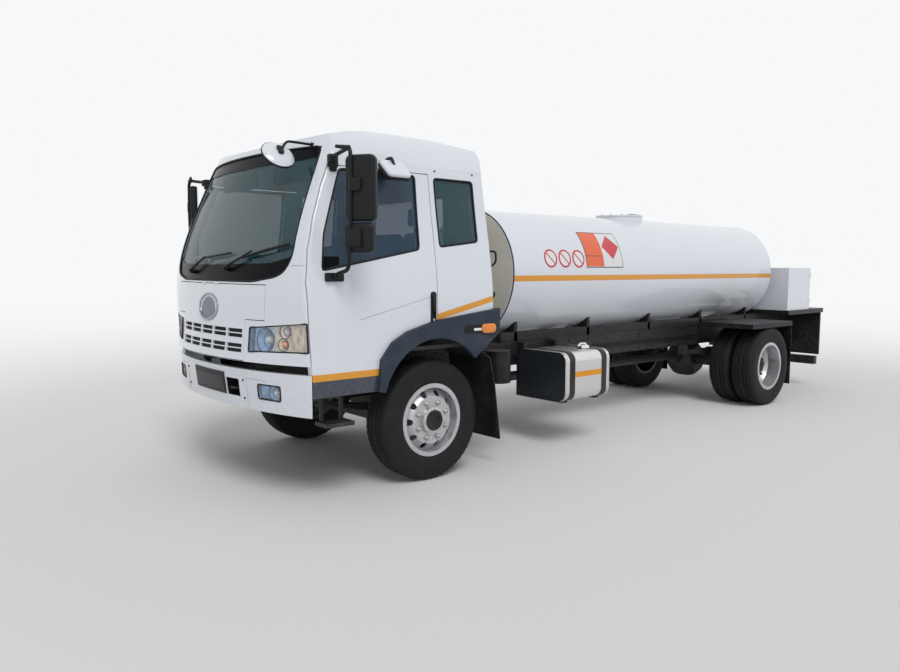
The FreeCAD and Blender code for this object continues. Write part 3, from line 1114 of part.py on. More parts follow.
def build_cab():
    s = size
    wide = s.level1_half + s.cut_over
    deep = s.level1_half / 2
    outer = cab_block()
    hull = outer.cut(cab_block(s.front_skin, s.side_wall, s.rear_wall))
    glass = cab_block(s.glass_set, s.glass_set, s.glass_set).cut(
        cab_block(s.glass_set + s.glass_depth, s.glass_set + s.glass_depth,
                  s.glass_set + s.glass_depth))
    nose = s.level2_nose + s.cut_over

    door_region = side_prism(door_points(), deep, wide)
    gap_region = side_prism(grown(door_points(), s.door_gap), deep, wide)
    window = side_prism(door_window_points(), deep, wide)
    window_in = side_prism(grown(door_window_points(), -s.seat_gap), deep, wide)
    quarter = side_prism(quarter_points(), deep, wide)
    quarter_in = side_prism(grown(quarter_points(), -s.seat_gap), deep, wide)
    screen = front_prism(screen_points(), s.level9_corner - s.level9_half / 8, nose)
    screen_in = front_prism(grown(screen_points(), -s.seat_gap), s.level9_corner - s.level9_half / 8,
                            nose)
    flap = front_prism(flap_points(), s.firewall_ahead, nose)
    flap_gap = front_prism(grown(flap_points(), s.move_gap), s.firewall_ahead, nose)
    lamp = front_prism(lamp_points(), s.firewall_ahead, nose)
    lamp_in = front_prism(grown(lamp_points(), -s.seat_gap), s.firewall_ahead, nose)
    rear_window = plain_box((-s.cab_rear_behind - s.cut_over, -s.quarter_rear / 2),
                            (-s.rear_win_half, s.rear_win_half), (s.rear_win_low, s.rear_win_top))

    # Everything below the front panel's foot, ahead of the doors, belongs to the bumper.
    below_front = plain_box((s.door_front_low - s.level1_half / 2, nose + s.cut_over),
                            (-wide, wide), (s.level1_z - s.cut_over, s.level2_z))
    gutter = above_gutter(0)
    tail_low = plain_box((-s.cab_rear_behind - s.cut_over, s.arch_ahead), (-wide, wide),
                         (s.level1_z - s.cut_over, s.flare_edge_z))
    middle_low = plain_box((-s.cab_rear_behind - s.cut_over, s.firewall_ahead),
                           (-s.front_guard_in, s.front_guard_in),
                           (s.level1_z - s.cut_over, s.floor_z))

    inner = cab_block(s.front_skin + s.seat_gap, s.side_wall + s.seat_gap,
                      s.rear_wall + s.seat_gap)
    back = -s.cab_rear_behind - s.cut_over
    floor = plain_box((back, s.firewall_ahead), (-wide, wide), (s.floor_z, s.floor_z + s.floor_depth))
    tunnel = plain_box((back, s.firewall_ahead), (-s.tunnel_half, s.tunnel_half),
                       (s.floor_z, s.tunnel_top))
    tunnel_room = plain_box((back - s.cut_over, s.firewall_ahead - s.floor_depth),
                            (-s.tunnel_half + s.floor_depth, s.tunnel_half - s.floor_depth),
                            (s.floor_z - s.cut_over, s.tunnel_top - s.floor_depth))
    firewall = plain_box((s.firewall_ahead - s.firewall_depth, s.firewall_ahead), (-wide, wide),
                         (s.floor_z, s.screen_low))
    cowl = plain_box((s.firewall_ahead - s.firewall_depth, nose), (-wide, wide),
                     (s.screen_low - s.pocket_wall, s.screen_low - s.seat_gap))
    cheek = plain_box((s.firewall_ahead - s.firewall_depth, nose),
                      (s.flap_half_top + s.move_gap, s.flap_half_top + s.move_gap + s.pocket_wall),
                      (s.lamp_head + s.seat_gap, s.screen_low - s.seat_gap))
    inside = floor.fuse([tunnel, firewall, cowl, cheek, other_side(cheek)]).cut(tunnel_room)
    inside = inside.common(inner).cut([flap_gap, gap_region, other_side(gap_region)])
    arm_y = (s.pivot_arm_in, s.pivot_arm_out)
    arm = plain_box((s.pivot_arm_back, s.pivot_ahead + s.pivot_half), arm_y,
                    (s.pivot_z - s.pivot_half, s.pivot_z + s.pivot_half))
    rise = plain_box((s.pivot_arm_back, s.pivot_arm_back + 2 * s.pivot_half), arm_y,
                     (s.pivot_z - s.pivot_half, s.floor_z + s.floor_depth / 2))
    bore = Part.makeCylinder(s.pivot_pin + s.running_fit, s.rail_y,
                             Vector(s.axle_x + s.pivot_ahead, s.rail_y - s.cut_over, s.pivot_z),
                             Vector(0, 1, 0))
    arm = arm.fuse(rise).cut(bore)
    node("cab_floor", shaped("cab_floor", largest(inside.fuse([arm, other_side(arm)]))))

    held, moving, cab_notches, flap_notches = flap_hinges()
    tools = [gutter, below_front, tail_low, middle_low, screen, flap_gap, rear_window] + cab_notches
    for shape in (gap_region, quarter, lamp, arch_tool(s.tunnel_half, wide)):
        tools += [shape, other_side(shape)]
    node("cab_shell", shaped("cab_shell", largest(hull.cut(tools).fuse(held))))

    for label, turn in (("left", lambda shape: shape), ("right", other_side)):
        door = hull.common(door_region).cut(window)
        node(f"door_{label}", shaped(f"door_{label}", turn(largest(door))))
        pane = glass.common(window_in)
        node(f"door_{label}_glass", shaped(f"door_{label}_glass", turn(largest(pane))))

    pane = glass.common(quarter_in)
    back = glass.common(plain_box(
        (-s.cab_rear_behind - s.cut_over, -s.quarter_rear / 2),
        (-s.rear_win_half + s.seat_gap, s.rear_win_half - s.seat_gap),
        (s.rear_win_low + s.seat_gap, s.rear_win_top - s.seat_gap)))
    screen_pane = glass.common(screen_in).cut(above_gutter(-s.seat_gap))
    panes = [largest(screen_pane), largest(pane), largest(other_side(pane)),
             largest(back)]
    node("cab_glass", shaped("cab_glass", Part.makeCompound(panes)))
    front_flap = hull.common(flap).cut(flap_notches + grille_slots()).fuse(moving)
    node("front_flap", shaped("front_flap", largest(front_flap)))
    lens = outer.cut(cab_block(s.lamp_depth, s.lamp_depth, s.lamp_depth)).common(lamp_in)
    lens = lens.common(plain_box((s.door_front_mid + s.door_gap, nose), (0, wide),
                                 (s.level2_z, s.level4_z)))
    lens = largest(lens)
    node("headlamps", shaped("headlamps", Part.makeCompound([lens, other_side(lens)])))

    flare = side_prism(flare_points(0), s.level1_half - s.side_wall, s.level1_half + s.flare_out)
    flare = flare.cut([arch_tool(deep, wide), cab_block(-s.seat_gap, -s.seat_gap, -s.seat_gap)])
    flare = largest(flare)
    node("arch_flares", shaped("arch_flares", Part.makeCompound([flare, other_side(flare)])))


def above_gutter(rise):
    """All that lies above the roof's joint, which steps up over the windscreen."""
    s = size
    back, front = -s.cab_rear_behind - s.cut_over, s.level2_nose + s.cut_over
    joint = [(back, s.gutter_rear_z), (s.gutter_mid_ahead, s.gutter_mid_z),
             (s.gutter_step_ahead, s.gutter_step_z), (s.gutter_brow_ahead, s.gutter_front_z),
             (front, s.gutter_front_z)]
    top = [(front, s.level9_z + s.cut_over), (back, s.level9_z + s.cut_over)]
    return side_prism([(x, z + rise) for x, z in joint] + top, -s.level1_half, s.level1_half)


def roof():
    """The raised roof: the block above the gutter, under a curve along and a curve across."""
    s = size

    def dome(inset):
        along = [Vector(s.axle_x + x, 0, z - inset) for x, z in (
            (s.level8_nose, s.gutter_step_z), (s.roof_nose_ahead, s.roof_nose_z),
            (s.roof_a_ahead, s.roof_a_z), (s.roof_peak_ahead, s.roof_peak_z),
            (-s.cab_rear_behind / 2, s.roof_rear_z + s.roof_wall),
            (-s.cab_rear_behind + s.cab_rear_lean / 2, s.roof_rear_z))]
        curve = Part.BSplineCurve()
        curve.interpolate(along)
        start, end = along[0], along[-1]
        deep = s.gutter_rear_z - s.cut_over
        floor = [Vector(end.x, 0, deep), Vector(start.x, 0, deep)]
        wire = Part.Wire([curve.toShape(), Part.makeLine(end, floor[0]),
                          Part.makeLine(floor[0], floor[1]), Part.makeLine(floor[1], start)])
        wide = s.level1_half
        long = Part.Face(wire).extrude(Vector(0, 2 * wide, 0))
        long.translate(Vector(0, -wide, 0))
        across = [Vector(0, y, z - inset) for y, z in (
            (-s.level8_half, s.roof_eave_z), (-s.roof_side_y, s.roof_side_z),
            (0, s.roof_peak_z), (s.roof_side_y, s.roof_side_z), (s.level8_half, s.roof_eave_z))]
        curve = Part.BSplineCurve()
        curve.interpolate(across)
        ends = [Vector(0, across[-1].y, deep), Vector(0, across[0].y, deep)]
        wire = Part.Wire([curve.toShape(), Part.makeLine(across[-1], ends[0]),
                          Part.makeLine(ends[0], ends[1]), Part.makeLine(ends[1], across[0])])
        span = 3 * s.axle_x
        round_over = Part.Face(wire).extrude(Vector(span, 0, 0))
        round_over.translate(Vector(-span / 3, 0, 0))
        return cab_block(inset, inset, inset).common(long).common(round_over)
    above = above_gutter(s.seat_gap)
    node("cab_roof", shaped("cab_roof", largest(dome(0).cut(dome(s.roof_wall)).common(above))))


def cab_inside():
    """Dashboard, seats and the steering wheel on its column."""
    dash = box("dashboard", (ahead("dash_rear"), ahead("firewall_ahead - firewall_depth - seat_gap")),
               ("-dash_half", "dash_half"), ("dash_low", "dash_top - screen_low + level4_z"))
    node("dashboard", dash)
    pieces = []
    beside = "tunnel_half + seat_gap"
    for label, low, high, outer in (
            ("driver", "-driver_out", "-driver_in",
             ("-driver_out + seat_base_inset", f"-({beside})")),
            ("bench", "bench_in", "bench_out", (beside, "bench_out - seat_base_inset"))):
        y = (low, high)
        seat = (behind("seat_behind"), ahead("seat_ahead"))
        span = (f"{seat[0]} + seat_base_inset", f"{seat[1]} - seat_base_inset")
        bases = [box(f"{label}_base", span, outer, ("floor_z + floor_depth + seat_gap",
                     "seat_cushion_z - cushion_depth"))]
        if label == "bench":
            bases.append(box("bench_middle_base", span,
                             ("bench_in + seat_base_inset", "tunnel_half - seat_base_inset"),
                             ("tunnel_top + seat_gap", "seat_cushion_z - cushion_depth")))
        cushion = box(f"{label}_cushion", seat, y, ("seat_cushion_z - cushion_depth",
                      "seat_cushion_z"))
        back = box(f"{label}_back", (seat[0], f"{seat[0]} + back_depth"), y,
                   ("seat_cushion_z - cushion_depth", "back_top"))
        middle = f"{high} - (bench_out - driver_in)/2" if label == "bench" else f"({low} + {high})/2"
        rest = box(f"{label}_head_rest", (f"{seat[0]} + head_inset", f"{seat[0]} + back_depth"),
                   (f"{middle} - head_half", f"{middle} + head_half"),
                   ("back_top - head_inset", "head_top"))
        pieces.append(fuse(f"{label}_seat", *bases, cushion, back, rest))
    node("seats", group("seats", *pieces))


def steering_wheel():
    s = size
    ring = Part.makeTorus(s.wheel_radius, s.wheel_rim)
    hub = Part.makeCylinder(s.wheel_hub_radius, s.wheel_hub_depth,
                            Vector(0, 0, -s.wheel_hub_depth / 2))
    spokes = [Part.makeBox(s.wheel_radius, 2 * s.spoke_half, s.wheel_rim,
                           Vector(0, -s.spoke_half, -s.wheel_rim / 2)) for k in range(2)]
    spokes[1].rotate(Vector(), Vector(0, 0, 1), 180)
    column = Part.makeCylinder(s.column_radius, s.column_length, Vector(0, 0, -s.column_length))
    made = ring.fuse([hub, column] + spokes)
    made.Placement = Placement(Vector(s.axle_x + s.wheel_ahead, -s.wheel_y, s.wheel_z),
                               Rotation(Vector(0, 1, 0), -s.wheel_lean_deg))
    above_floor = plain_box((s.wheel_ahead - s.column_length, s.firewall_ahead),
                            (-s.driver_out - s.cut_over, -s.driver_in + s.cut_over),
                            (s.floor_z + s.floor_depth + s.seat_gap, s.wheel_z + s.wheel_radius))
    return shaped("steering_wheel", made.common(above_floor))


def bumper_band():
    """A bowed band across the front: two sections lofted, less the same set back by its depth."""
    s = size
    low, high = s.bumper_low, s.bumper_top

    def block(setback, reach):
        wires = []
        for z, nose in ((low - reach, s.bumper_nose_low), (high + reach, s.bumper_nose)):
            front = front_curve(z, s.axle_x + nose - setback, s.axle_x + s.bumper_corner - setback,
                                s.bumper_half, 1)
            right, left = (front.valueAt(place)
                           for place in (front.FirstParameter, front.LastParameter))
            back = s.axle_x + s.bumper_corner - s.cut_over * 4
            corners = [Vector(back, left.y, z), Vector(back, right.y, z)]
            wires.append(Part.Wire([front, Part.makeLine(left, corners[0]),
                                    Part.makeLine(corners[0], corners[1]),
                                    Part.makeLine(corners[1], right)]))
        return Part.makeLoft(wires, True, True)
    trim = plain_box((s.door_front_low + s.door_gap, s.level2_nose + s.cut_over),
                     (-s.bumper_half, s.bumper_half), (low, high))
    return block(0, 0).cut(block(s.bumper_depth, s.cut_over)).common(trim)


def front_bumper():
    s = size
    bar = bumper_band()
    pocket = front_prism([(s.fog_in, s.fog_low), (s.fog_out, s.fog_low), (s.fog_out, s.fog_top),
                          (s.fog_in, s.fog_top)], s.firewall_ahead, s.level2_nose)
    lens = front_prism(grown([(s.fog_in, s.fog_low), (s.fog_out, s.fog_low),
                              (s.fog_out, s.fog_top), (s.fog_in, s.fog_top)], -s.seat_gap),
                       s.firewall_ahead, s.level2_nose)
    lens = largest(bar.common(lens))
    node("fog_lamps", shaped("fog_lamps", Part.makeCompound([lens, other_side(lens)])))
    tow = front_prism([(s.tow_in, s.tow_low), (s.tow_out, s.tow_low), (s.tow_out, s.tow_top),
                       (s.tow_in, s.tow_top)], s.firewall_ahead, s.level2_nose)
    bar = bar.cut([pocket, other_side(pocket), tow])
    node("front_bumper", shaped("front_bumper", largest(bar)))


def door_mirrors():
    """A tube on two arms with a main mirror and a wide one below it."""
    x, y = ahead("mirror_tube_ahead"), "mirror_y"
    tube = rod("mirror_tube", "Z", "mirror_tube_radius",
               ("mirror_low - mirror_tube_radius", "mirror_post_top"), (x, y))
    roots = (("level4_half - mirror_tube_radius", "mirror_low"),
             ("level8_half - mirror_tube_radius", "mirror_high"))
    arms = [rod(f"mirror_arm{k}", "Y", "mirror_tube_radius", (root, y), (x, z))
            for k, (root, z) in enumerate(roots)]
    feet = [box(f"mirror_foot{k}", (f"{x} - mirror_foot_half", f"{x} + mirror_foot_half"),
                (root, f"{root} + mirror_tube_radius*3"),
                (f"{z} - mirror_foot_half", f"{z} + mirror_foot_half"))
            for k, (root, z) in enumerate(roots)]
    heads = [rounded_bar(f"mirror_head{k}", (ahead("mirror_rear_ahead"),
                         ahead("mirror_front_ahead")), ("mirror_in", "mirror_out"), z,
                         "mirror_round")
             for k, z in enumerate((("main_low", "main_top"), ("wide_low", "wide_top")))]
    return cut("door_mirrors", fuse("mirrors_solid", tube, *arms, *feet, *heads), cab_outside)


def kerb_mirror():
    """A downward mirror over the left door, on an upright plate that the door's head carries."""
    x = ahead("kerb_ahead")
    span = (f"{x} - kerb_plate_half", f"{x} + kerb_plate_half")
    plate_out = "kerb_plate_in + kerb_plate"
    foot = box("kerb_foot_block", span, ("level8_half - kerb_plate", plate_out),
               ("kerb_foot", "kerb_foot_top"))
    plate = box("kerb_upright", span, ("kerb_plate_in", plate_out), ("kerb_foot", "kerb_arm_top"))
    middle = "(kerb_head_in + kerb_head_out)/2"
    arm = box("kerb_reach", (f"{x} - kerb_arm", f"{x} + kerb_arm"),
              ("kerb_plate_in", f"{middle} + kerb_arm"), ("kerb_arm_top - kerb_arm", "kerb_arm_top"))
    stem = box("kerb_stem", (f"{x} - kerb_arm", f"{x} + kerb_arm"),
               (f"{middle} - kerb_arm", f"{middle} + kerb_arm"),
               ("kerb_head_top - kerb_arm", "kerb_arm_top"))
    head = rounded_bar("kerb_head", (f"{x} - kerb_head_half", f"{x} + kerb_head_half"),
                       ("kerb_head_in", "kerb_head_out"), ("kerb_head_low", "kerb_head_top"),
                       "kerb_round")
    return cut("kerb_mirror", fuse("kerb_solid", foot, plate, arm, stem, head), cab_outside)


def front_mirror():
    """A dish mirror ahead of the windscreen's upper left corner, leaning down and inward, on an
    arm from the roof and a short stem."""
    s = size
    centre = Vector(s.axle_x + s.mirror_dish_ahead, s.mirror_dish_y, s.mirror_dish_z)
    back = Rotation(Vector(1, 0, 0), -s.mirror_dish_lean_deg).multVec(Vector(0, 0, 1))
    dish = Part.makeCylinder(s.mirror_dish_radius, s.mirror_dish_depth,
                             centre - back * s.mirror_dish_depth, back)
    sunk = Vector(0, 0, s.mirror_dish_depth / 2)
    stem = Part.makeCylinder(s.dish_arm_radius, s.dish_arm_rise + sunk.z, centre - sunk)
    root = Vector(s.axle_x + s.dish_arm_root, centre.y, centre.z + s.dish_arm_rise)
    arm = Part.makeCylinder(s.dish_arm_radius, centre.x - root.x + s.dish_arm_radius, root,
                            Vector(1, 0, 0))
    made = shaped("front_mirror_solid", dish.fuse([stem, arm]))
    return cut("front_mirror", made, cab_outside)


wheels()
for label, side in (("left", "1"), ("right", "-1")):
    node(f"knuckle_{label}", knuckle(label, side))
node("track_rod", track_rod())
node("front_axle_beam", front_axle())
node("leaf_springs", springs())
node("rear_axle", rear_axle())
node("chassis_frame", frame())
node("engine_block", engine())
node("drive_shaft", drive_shaft())
node("tank_shell", tank())
node("manlid", manlid())
node("tank_subframe", tank_frame())
node("rear_deck", deck())
node("pump_cabinet", cabinet())
left = node("cabinet_door_left", cabinet_door())
node("cabinet_door_right", mirrored("cabinet_door_right", left))
tail()
node("rear_mudguards", both_sides("rear_mudguards", rear_guard()))
node("front_mudguards", both_sides("front_mudguards", front_guard()))
node("steps", both_sides("steps", steps()))
fuel_tank()
right_side_gear()
node("air_cleaner", air_cleaner())
build_cab()
roof()
cab_inside()
node("steering_wheel", steering_wheel())
front_bumper()
cab_outside = shaped("cab_outside", cab_block(-size.seat_gap, -size.seat_gap, -size.seat_gap))
left = door_mirrors()
node("mirrors_left", group("mirrors_left", left, kerb_mirror()))
node("mirrors_right", mirrored("mirrors_right", left))
node("front_mirror", front_mirror())

doc.recompute()
for made in doc.Objects:
    if {"Invalid", "Error"} & set(made.State):
        raise RuntimeError(f"{made.Name} did not build: {made.State}")
for made in NODES:
    if made.Shape.isNull() or not made.Shape.isValid():
        raise RuntimeError(f"{made.Label} has no valid shape")

os.makedirs("parts", exist_ok=True)
for made in NODES:
    made.Shape.exportStep(os.path.join("parts", made.Label + ".step"))
    print(made.Label, len(made.Shape.Solids), round(made.Shape.Volume / 1e6, 2))
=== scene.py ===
import math

import bmesh
import bpy
import numpy as np
from bpy.props import FloatProperty, FloatVectorProperty, IntProperty, PointerProperty
from mathutils import Matrix, Vector


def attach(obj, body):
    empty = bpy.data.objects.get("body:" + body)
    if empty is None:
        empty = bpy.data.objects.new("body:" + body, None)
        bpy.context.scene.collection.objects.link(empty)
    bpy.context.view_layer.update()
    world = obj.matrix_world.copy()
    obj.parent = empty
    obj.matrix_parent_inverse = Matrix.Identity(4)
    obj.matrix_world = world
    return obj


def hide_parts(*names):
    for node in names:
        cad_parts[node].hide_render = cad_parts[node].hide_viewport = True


bl_info = {
    "name": "Tanker truck looks",
    "version": (1, 0, 0),
    "blender": (4, 5, 0),
    "location": "3D View > Sidebar > Tanker",
    "description": "Finishes, tyres, lamps, glazing trim, mirrors, signs and seats for the tanker truck",
    "category": "Object",
}

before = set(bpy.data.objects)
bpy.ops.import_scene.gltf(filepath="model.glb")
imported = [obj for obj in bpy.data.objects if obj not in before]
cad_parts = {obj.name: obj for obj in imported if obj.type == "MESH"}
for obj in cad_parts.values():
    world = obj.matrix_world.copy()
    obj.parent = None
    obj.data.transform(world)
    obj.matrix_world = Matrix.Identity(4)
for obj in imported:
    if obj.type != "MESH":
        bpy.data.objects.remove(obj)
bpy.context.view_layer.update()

AXLE = 3.125                 # X of the front axle; the places below are forward of it
WHEEL_Z = 0.505
WHEELBASE = 5.49
TWIN_SPACING = 0.315         # between the middles of a twin's two tyres
SIDES = (("left", 1), ("right", -1))
# A wheel's name, X and Y of its outer tyre's middle, its body and the nodes its tyres replace.
ALL_WHEELS = (("front_left", AXLE, 0.972, "wheel_front_left", ("tyre_front_left",)),
              ("front_right", AXLE, -0.972, "wheel_front_right", ("tyre_front_right",)),
              ("rear_left", AXLE - WHEELBASE, 1.092, "wheels_rear_left", ("tyres_rear_left",)),
              ("rear_right", AXLE - WHEELBASE, -1.092, "wheels_rear_right", ("tyres_rear_right",)))
BARREL_RADIUS, BARREL_Z = 0.655, 1.7
BARREL_FRONT, BARREL_REAR = -1.391, -6.55

# The cab's outer block: height, front at the middle, front at the corner, half width.
CAB_LEVELS = np.array([
    (0.800, 1.458, 1.195, 1.200), (1.055, 1.470, 1.203, 1.200), (1.350, 1.436, 1.217, 1.200),
    (1.650, 1.400, 1.222, 1.193), (1.880, 1.347, 1.188, 1.165), (2.115, 1.275, 1.118, 1.127),
    (2.350, 1.192, 1.024, 1.092), (2.570, 1.112, 0.928, 1.062), (2.900, 0.975, 0.770, 1.015)])
BUMPER_LEVELS = np.array([(0.684, 1.402, 1.196, 1.2), (0.990, 1.440, 1.196, 1.2)])
MERGE = 1e-5                 # points nearer than this become one


# Surfaces

def smooth_rows(levels):
    """The slopes of a natural cubic through each column of the levels, for level_at()."""
    z = levels[:, 0]
    step = np.diff(z)
    rise = np.diff(levels[:, 1:], axis=0) / step[:, None]
    count = len(z)
    system = np.eye(count)
    right = np.zeros((count, levels.shape[1] - 1))
    inner = np.arange(1, count - 1)
    system[inner, inner - 1] = step[:-1]
    system[inner, inner] = 2 * (step[:-1] + step[1:])
    system[inner, inner + 1] = step[1:]
    right[1:-1] = 6 * np.diff(rise, axis=0)
    return np.linalg.solve(system, right)


FRONT_END = 0.96             # share of the half width where the corner's rounding starts
CORNER_REACH, CORNER_DEPTH = 0.9, 0.028
CAB_BENDS = smooth_rows(CAB_LEVELS)
CAB_FRONT = (CAB_LEVELS, CAB_BENDS, FRONT_END)
BUMPER_FRONT = (BUMPER_LEVELS, np.zeros((2, 3)), 1.0)


def level_at(levels, bends, z):
    """Nose, corner and half width at each height: a cubic between two levels."""
    z = np.asarray(z, float)
    knots = levels[:, 0]
    k = np.clip(np.searchsorted(knots, z) - 1, 0, len(knots) - 2)
    step = knots[k + 1] - knots[k]
    a = ((knots[k + 1] - z) / step)[..., None]
    b = 1 - a
    square = (step**2 / 6)[..., None]
    values = a * levels[k, 1:] + b * levels[k + 1, 1:] + square * (
        (a**3 - a) * bends[k] + (b**3 - b) * bends[k + 1])
    return values[..., 0], values[..., 1], values[..., 2]


def front_place(y, z, setback=0.0, levels=CAB_LEVELS, bends=CAB_BENDS, end=FRONT_END):
    """Points on the bowed front: the nose less the fall to the corner times a bow of y's share
    of the half width, set back along X. Past the end share a curve with one control point
    rounds the corner to the side."""
    y, z = np.broadcast_arrays(np.asarray(y, float), np.asarray(z, float))
    nose, corner, half = level_at(levels, bends, z)
    share = np.minimum(np.abs(y) / half, end)
    front = nose - (nose - corner) * (0.75 * share**2 + 0.25 * share**3.2)
    slope = (nose - corner) * (1.5 * share + 0.8 * share**2.2) / half
    room = half * max(1 - end, 1e-9)
    left = np.sqrt(np.clip((half - np.abs(y)) / room, 0, 1))
    front = (left**2 * front + 2 * left * (1 - left) * (front - CORNER_REACH * room * slope)
             + (1 - left) ** 2 * (corner - CORNER_DEPTH))
    return np.stack([AXLE + front - setback, y, z], -1)


def side_place(x, z, out=0.0, side=1):
    """Points on the cab's flat side: the half width at each height, moved out by a distance."""
    x, z = np.broadcast_arrays(np.asarray(x, float), np.asarray(z, float))
    half = level_at(CAB_LEVELS, CAB_BENDS, z)[2]
    return np.stack([AXLE + x, side * (half + out), z], -1)


def barrel_place(x, lift, out=0.0, side=1):
    """Points on the barrel's round side: X forward of the axle, and degrees up from level."""
    x, lift = np.broadcast_arrays(np.asarray(x, float), np.radians(np.asarray(lift, float)))
    radius = BARREL_RADIUS + out
    return np.stack([AXLE + x, side * radius * np.cos(lift), BARREL_Z + radius * np.sin(lift)], -1)


def quads(rows, columns, round_rows=False, round_columns=False, start=0):
    """The faces of a grid of points, as index rows; a round direction joins end to start."""
    i = np.arange(rows if round_rows else rows - 1)[:, None]
    j = np.arange(columns if round_columns else columns - 1)[None, :]
    near, far = i * columns, (i + 1) % rows * columns
    corners = (near + j, far + j, far + (j + 1) % columns, near + (j + 1) % columns)
    return np.stack(np.broadcast_arrays(*corners), -1).reshape(-1, 4) + start


def joined(patches):
    """Points and faces of several grids as one pair; a patch is points, round rows and columns."""
    points, faces, start = [], [], 0
    for grid, round_rows, round_columns in patches:
        rows, columns = grid.shape[:2]
        points.append(grid.reshape(-1, 3))
        faces.append(quads(rows, columns, round_rows, round_columns, start))
        start += rows * columns
    return np.concatenate(points), np.concatenate(faces)


def rings_around(profile, centre, axis="Y", count=48):
    """A turned form: a profile of (radius, distance along the axis) swept round the axis."""
    radius, along = np.asarray(profile, float).T
    angle = np.linspace(0, math.tau, count, endpoint=False)
    across, up = np.outer(np.cos(angle), radius), np.outer(np.sin(angle), radius)
    along = np.broadcast_to(along, across.shape)
    order = {"X": (along, across, up), "Y": (across, along, up), "Z": (across, up, along)}[axis]
    return np.stack(order, -1) + np.asarray(centre, float), True, False


def eased_path(corners, count=40, ease=0.12):
    """A path that runs through its corners with each bend eased: even steps along the runs,
    averaged over a share of the whole length."""
    corners = np.asarray(corners, float)
    runs = np.concatenate([[0], np.cumsum(np.linalg.norm(np.diff(corners, axis=0), axis=1))])
    fine = np.linspace(0, runs[-1], 400)
    reach = ease * runs[-1] / 2
    offsets = np.linspace(-reach, reach, 41)
    room = np.minimum(1, np.minimum(fine, runs[-1] - fine) / reach)
    spots = fine[:, None] + offsets[None, :] * room[:, None]
    eased = np.stack([np.interp(spots, runs, column).mean(1) for column in corners.T], -1)
    return eased[np.linspace(0, 399, count).astype(int)]


def tube(path, radius, sides=12, flat=1.0, closed=False):
    """A round bar: a ring of a radius carried along a path, its ends drawn in to points.
    flat squashes the ring across the second direction."""
    path = np.asarray(path, float)
    if closed:
        run = np.roll(path, -1, 0) - np.roll(path, 1, 0)
    else:
        run = np.gradient(path, axis=0)
    run = run / np.linalg.norm(run, axis=1)[:, None]
    guide = np.eye(3)[np.argmin(np.abs(run).max(0))]
    first = np.cross(run, guide)
    first = first / np.linalg.norm(first, axis=1)[:, None]
    second = np.cross(run, first)
    angle = np.linspace(0, math.tau, sides, endpoint=False)
    size = np.broadcast_to(np.asarray(radius, float), len(path))[:, None, None]
    ring = (np.cos(angle)[None, :, None] * first[:, None, :]
            + flat * np.sin(angle)[None, :, None] * second[:, None, :]) * size
    grid = path[:, None, :] + ring
    if not closed:
        ends = [np.repeat(path[k][None, None], sides, 1) for k in (0, -1)]
        grid = np.concatenate([ends[0], grid, ends[1]])
    return grid, closed, True


def block(centre, half, corner=0.01, edge=0.003, turn=None, steps=5):
    """A soft-edged block: a rounded rectangle carried through the depth while a quarter round
    pulls it in at both ends. half is its half sizes; the third one is the depth."""
    a, b, c = half
    corner = min(corner, a, b)
    edge = min(edge, c, corner * 0.98 + 1e-6)
    arc = np.linspace(0, math.pi / 2, steps)
    angle = (np.arange(4)[:, None] * math.pi / 2 + arc[None, :]).ravel()
    signs = np.repeat(np.array([(1, 1), (-1, 1), (-1, -1), (1, -1)]), steps, 0)
    rise = edge * np.sin(arc)
    inset = np.concatenate([[edge], (edge - rise), (edge - rise)[::-1], [edge]])
    height = np.concatenate([[-c], -c + edge - np.cos(arc) * edge, c - edge + np.cos(arc[::-1]) * edge,
                             [c]])
    shrink = np.ones(len(inset))
    shrink[[0, -1]] = 0
    ring = np.stack([np.cos(angle), np.sin(angle)], -1)[None] * (corner - inset)[:, None, None]
    ring = (ring + signs[None] * (np.array([a, b]) - corner)) * shrink[:, None, None]
    level = np.broadcast_to(height[:, None, None], ring.shape[:2] + (1,))
    grid = np.concatenate([ring, level], -1)
    if turn is not None:
        grid = grid @ np.asarray(turn, float).T
    return grid + np.asarray(centre, float), False, True


def facing(axis):
    """A block's turn that points its depth along an axis: width and height take the others."""
    columns = {"X": ((0, 1, 0), (0, 0, 1), (1, 0, 0)), "Y": ((1, 0, 0), (0, 0, 1), (0, 1, 0)),
               "Z": ((1, 0, 0), (0, 1, 0), (0, 0, 1))}[axis]
    return np.array(columns, float).T


def leaned(degrees):
    """A turn about the truck's length, for points as rows."""
    c, s = math.cos(math.radians(degrees)), math.sin(math.radians(degrees))
    return np.array([(1, 0, 0), (0, c, -s), (0, s, c)])


def slab(face, depth):
    """A thin closed plate: a grid of points and the same grid moved, with the rim between."""
    back = face + depth
    rim = np.concatenate([face[:, 0], face[-1, 1:], face[-2::-1, -1], face[0, -2:0:-1]])
    rim_back = np.concatenate([back[:, 0], back[-1, 1:], back[-2::-1, -1], back[0, -2:0:-1]])
    return [(face, False, False), (back, False, False), (np.stack([rim, rim_back]), False, True)]


def rect(left, right, low, high):
    """A rectangle's corners in two numbers."""
    return (left, low), (right, low), (right, high), (left, high)


def rounded_outline(corners, radius, per_corner=7):
    """A closed outline in two numbers with each corner rounded: a curve from one run to the
    next, whose control point is the corner."""
    corners = np.asarray(corners, float)
    before = np.roll(corners, 1, 0) - corners
    after = np.roll(corners, -1, 0) - corners
    back, ahead = (np.linalg.norm(run, axis=1)[:, None] for run in (before, after))
    reach = np.minimum(radius, 0.45 * np.minimum(back, ahead))
    start = corners + before / back * reach
    end = corners + after / ahead * reach
    t = np.linspace(0, 1, per_corner)[None, :, None]
    curve = (1 - t) ** 2 * start[:, None] + 2 * t * (1 - t) * corners[:, None] + t**2 * end[:, None]
    return curve.reshape(-1, 2)


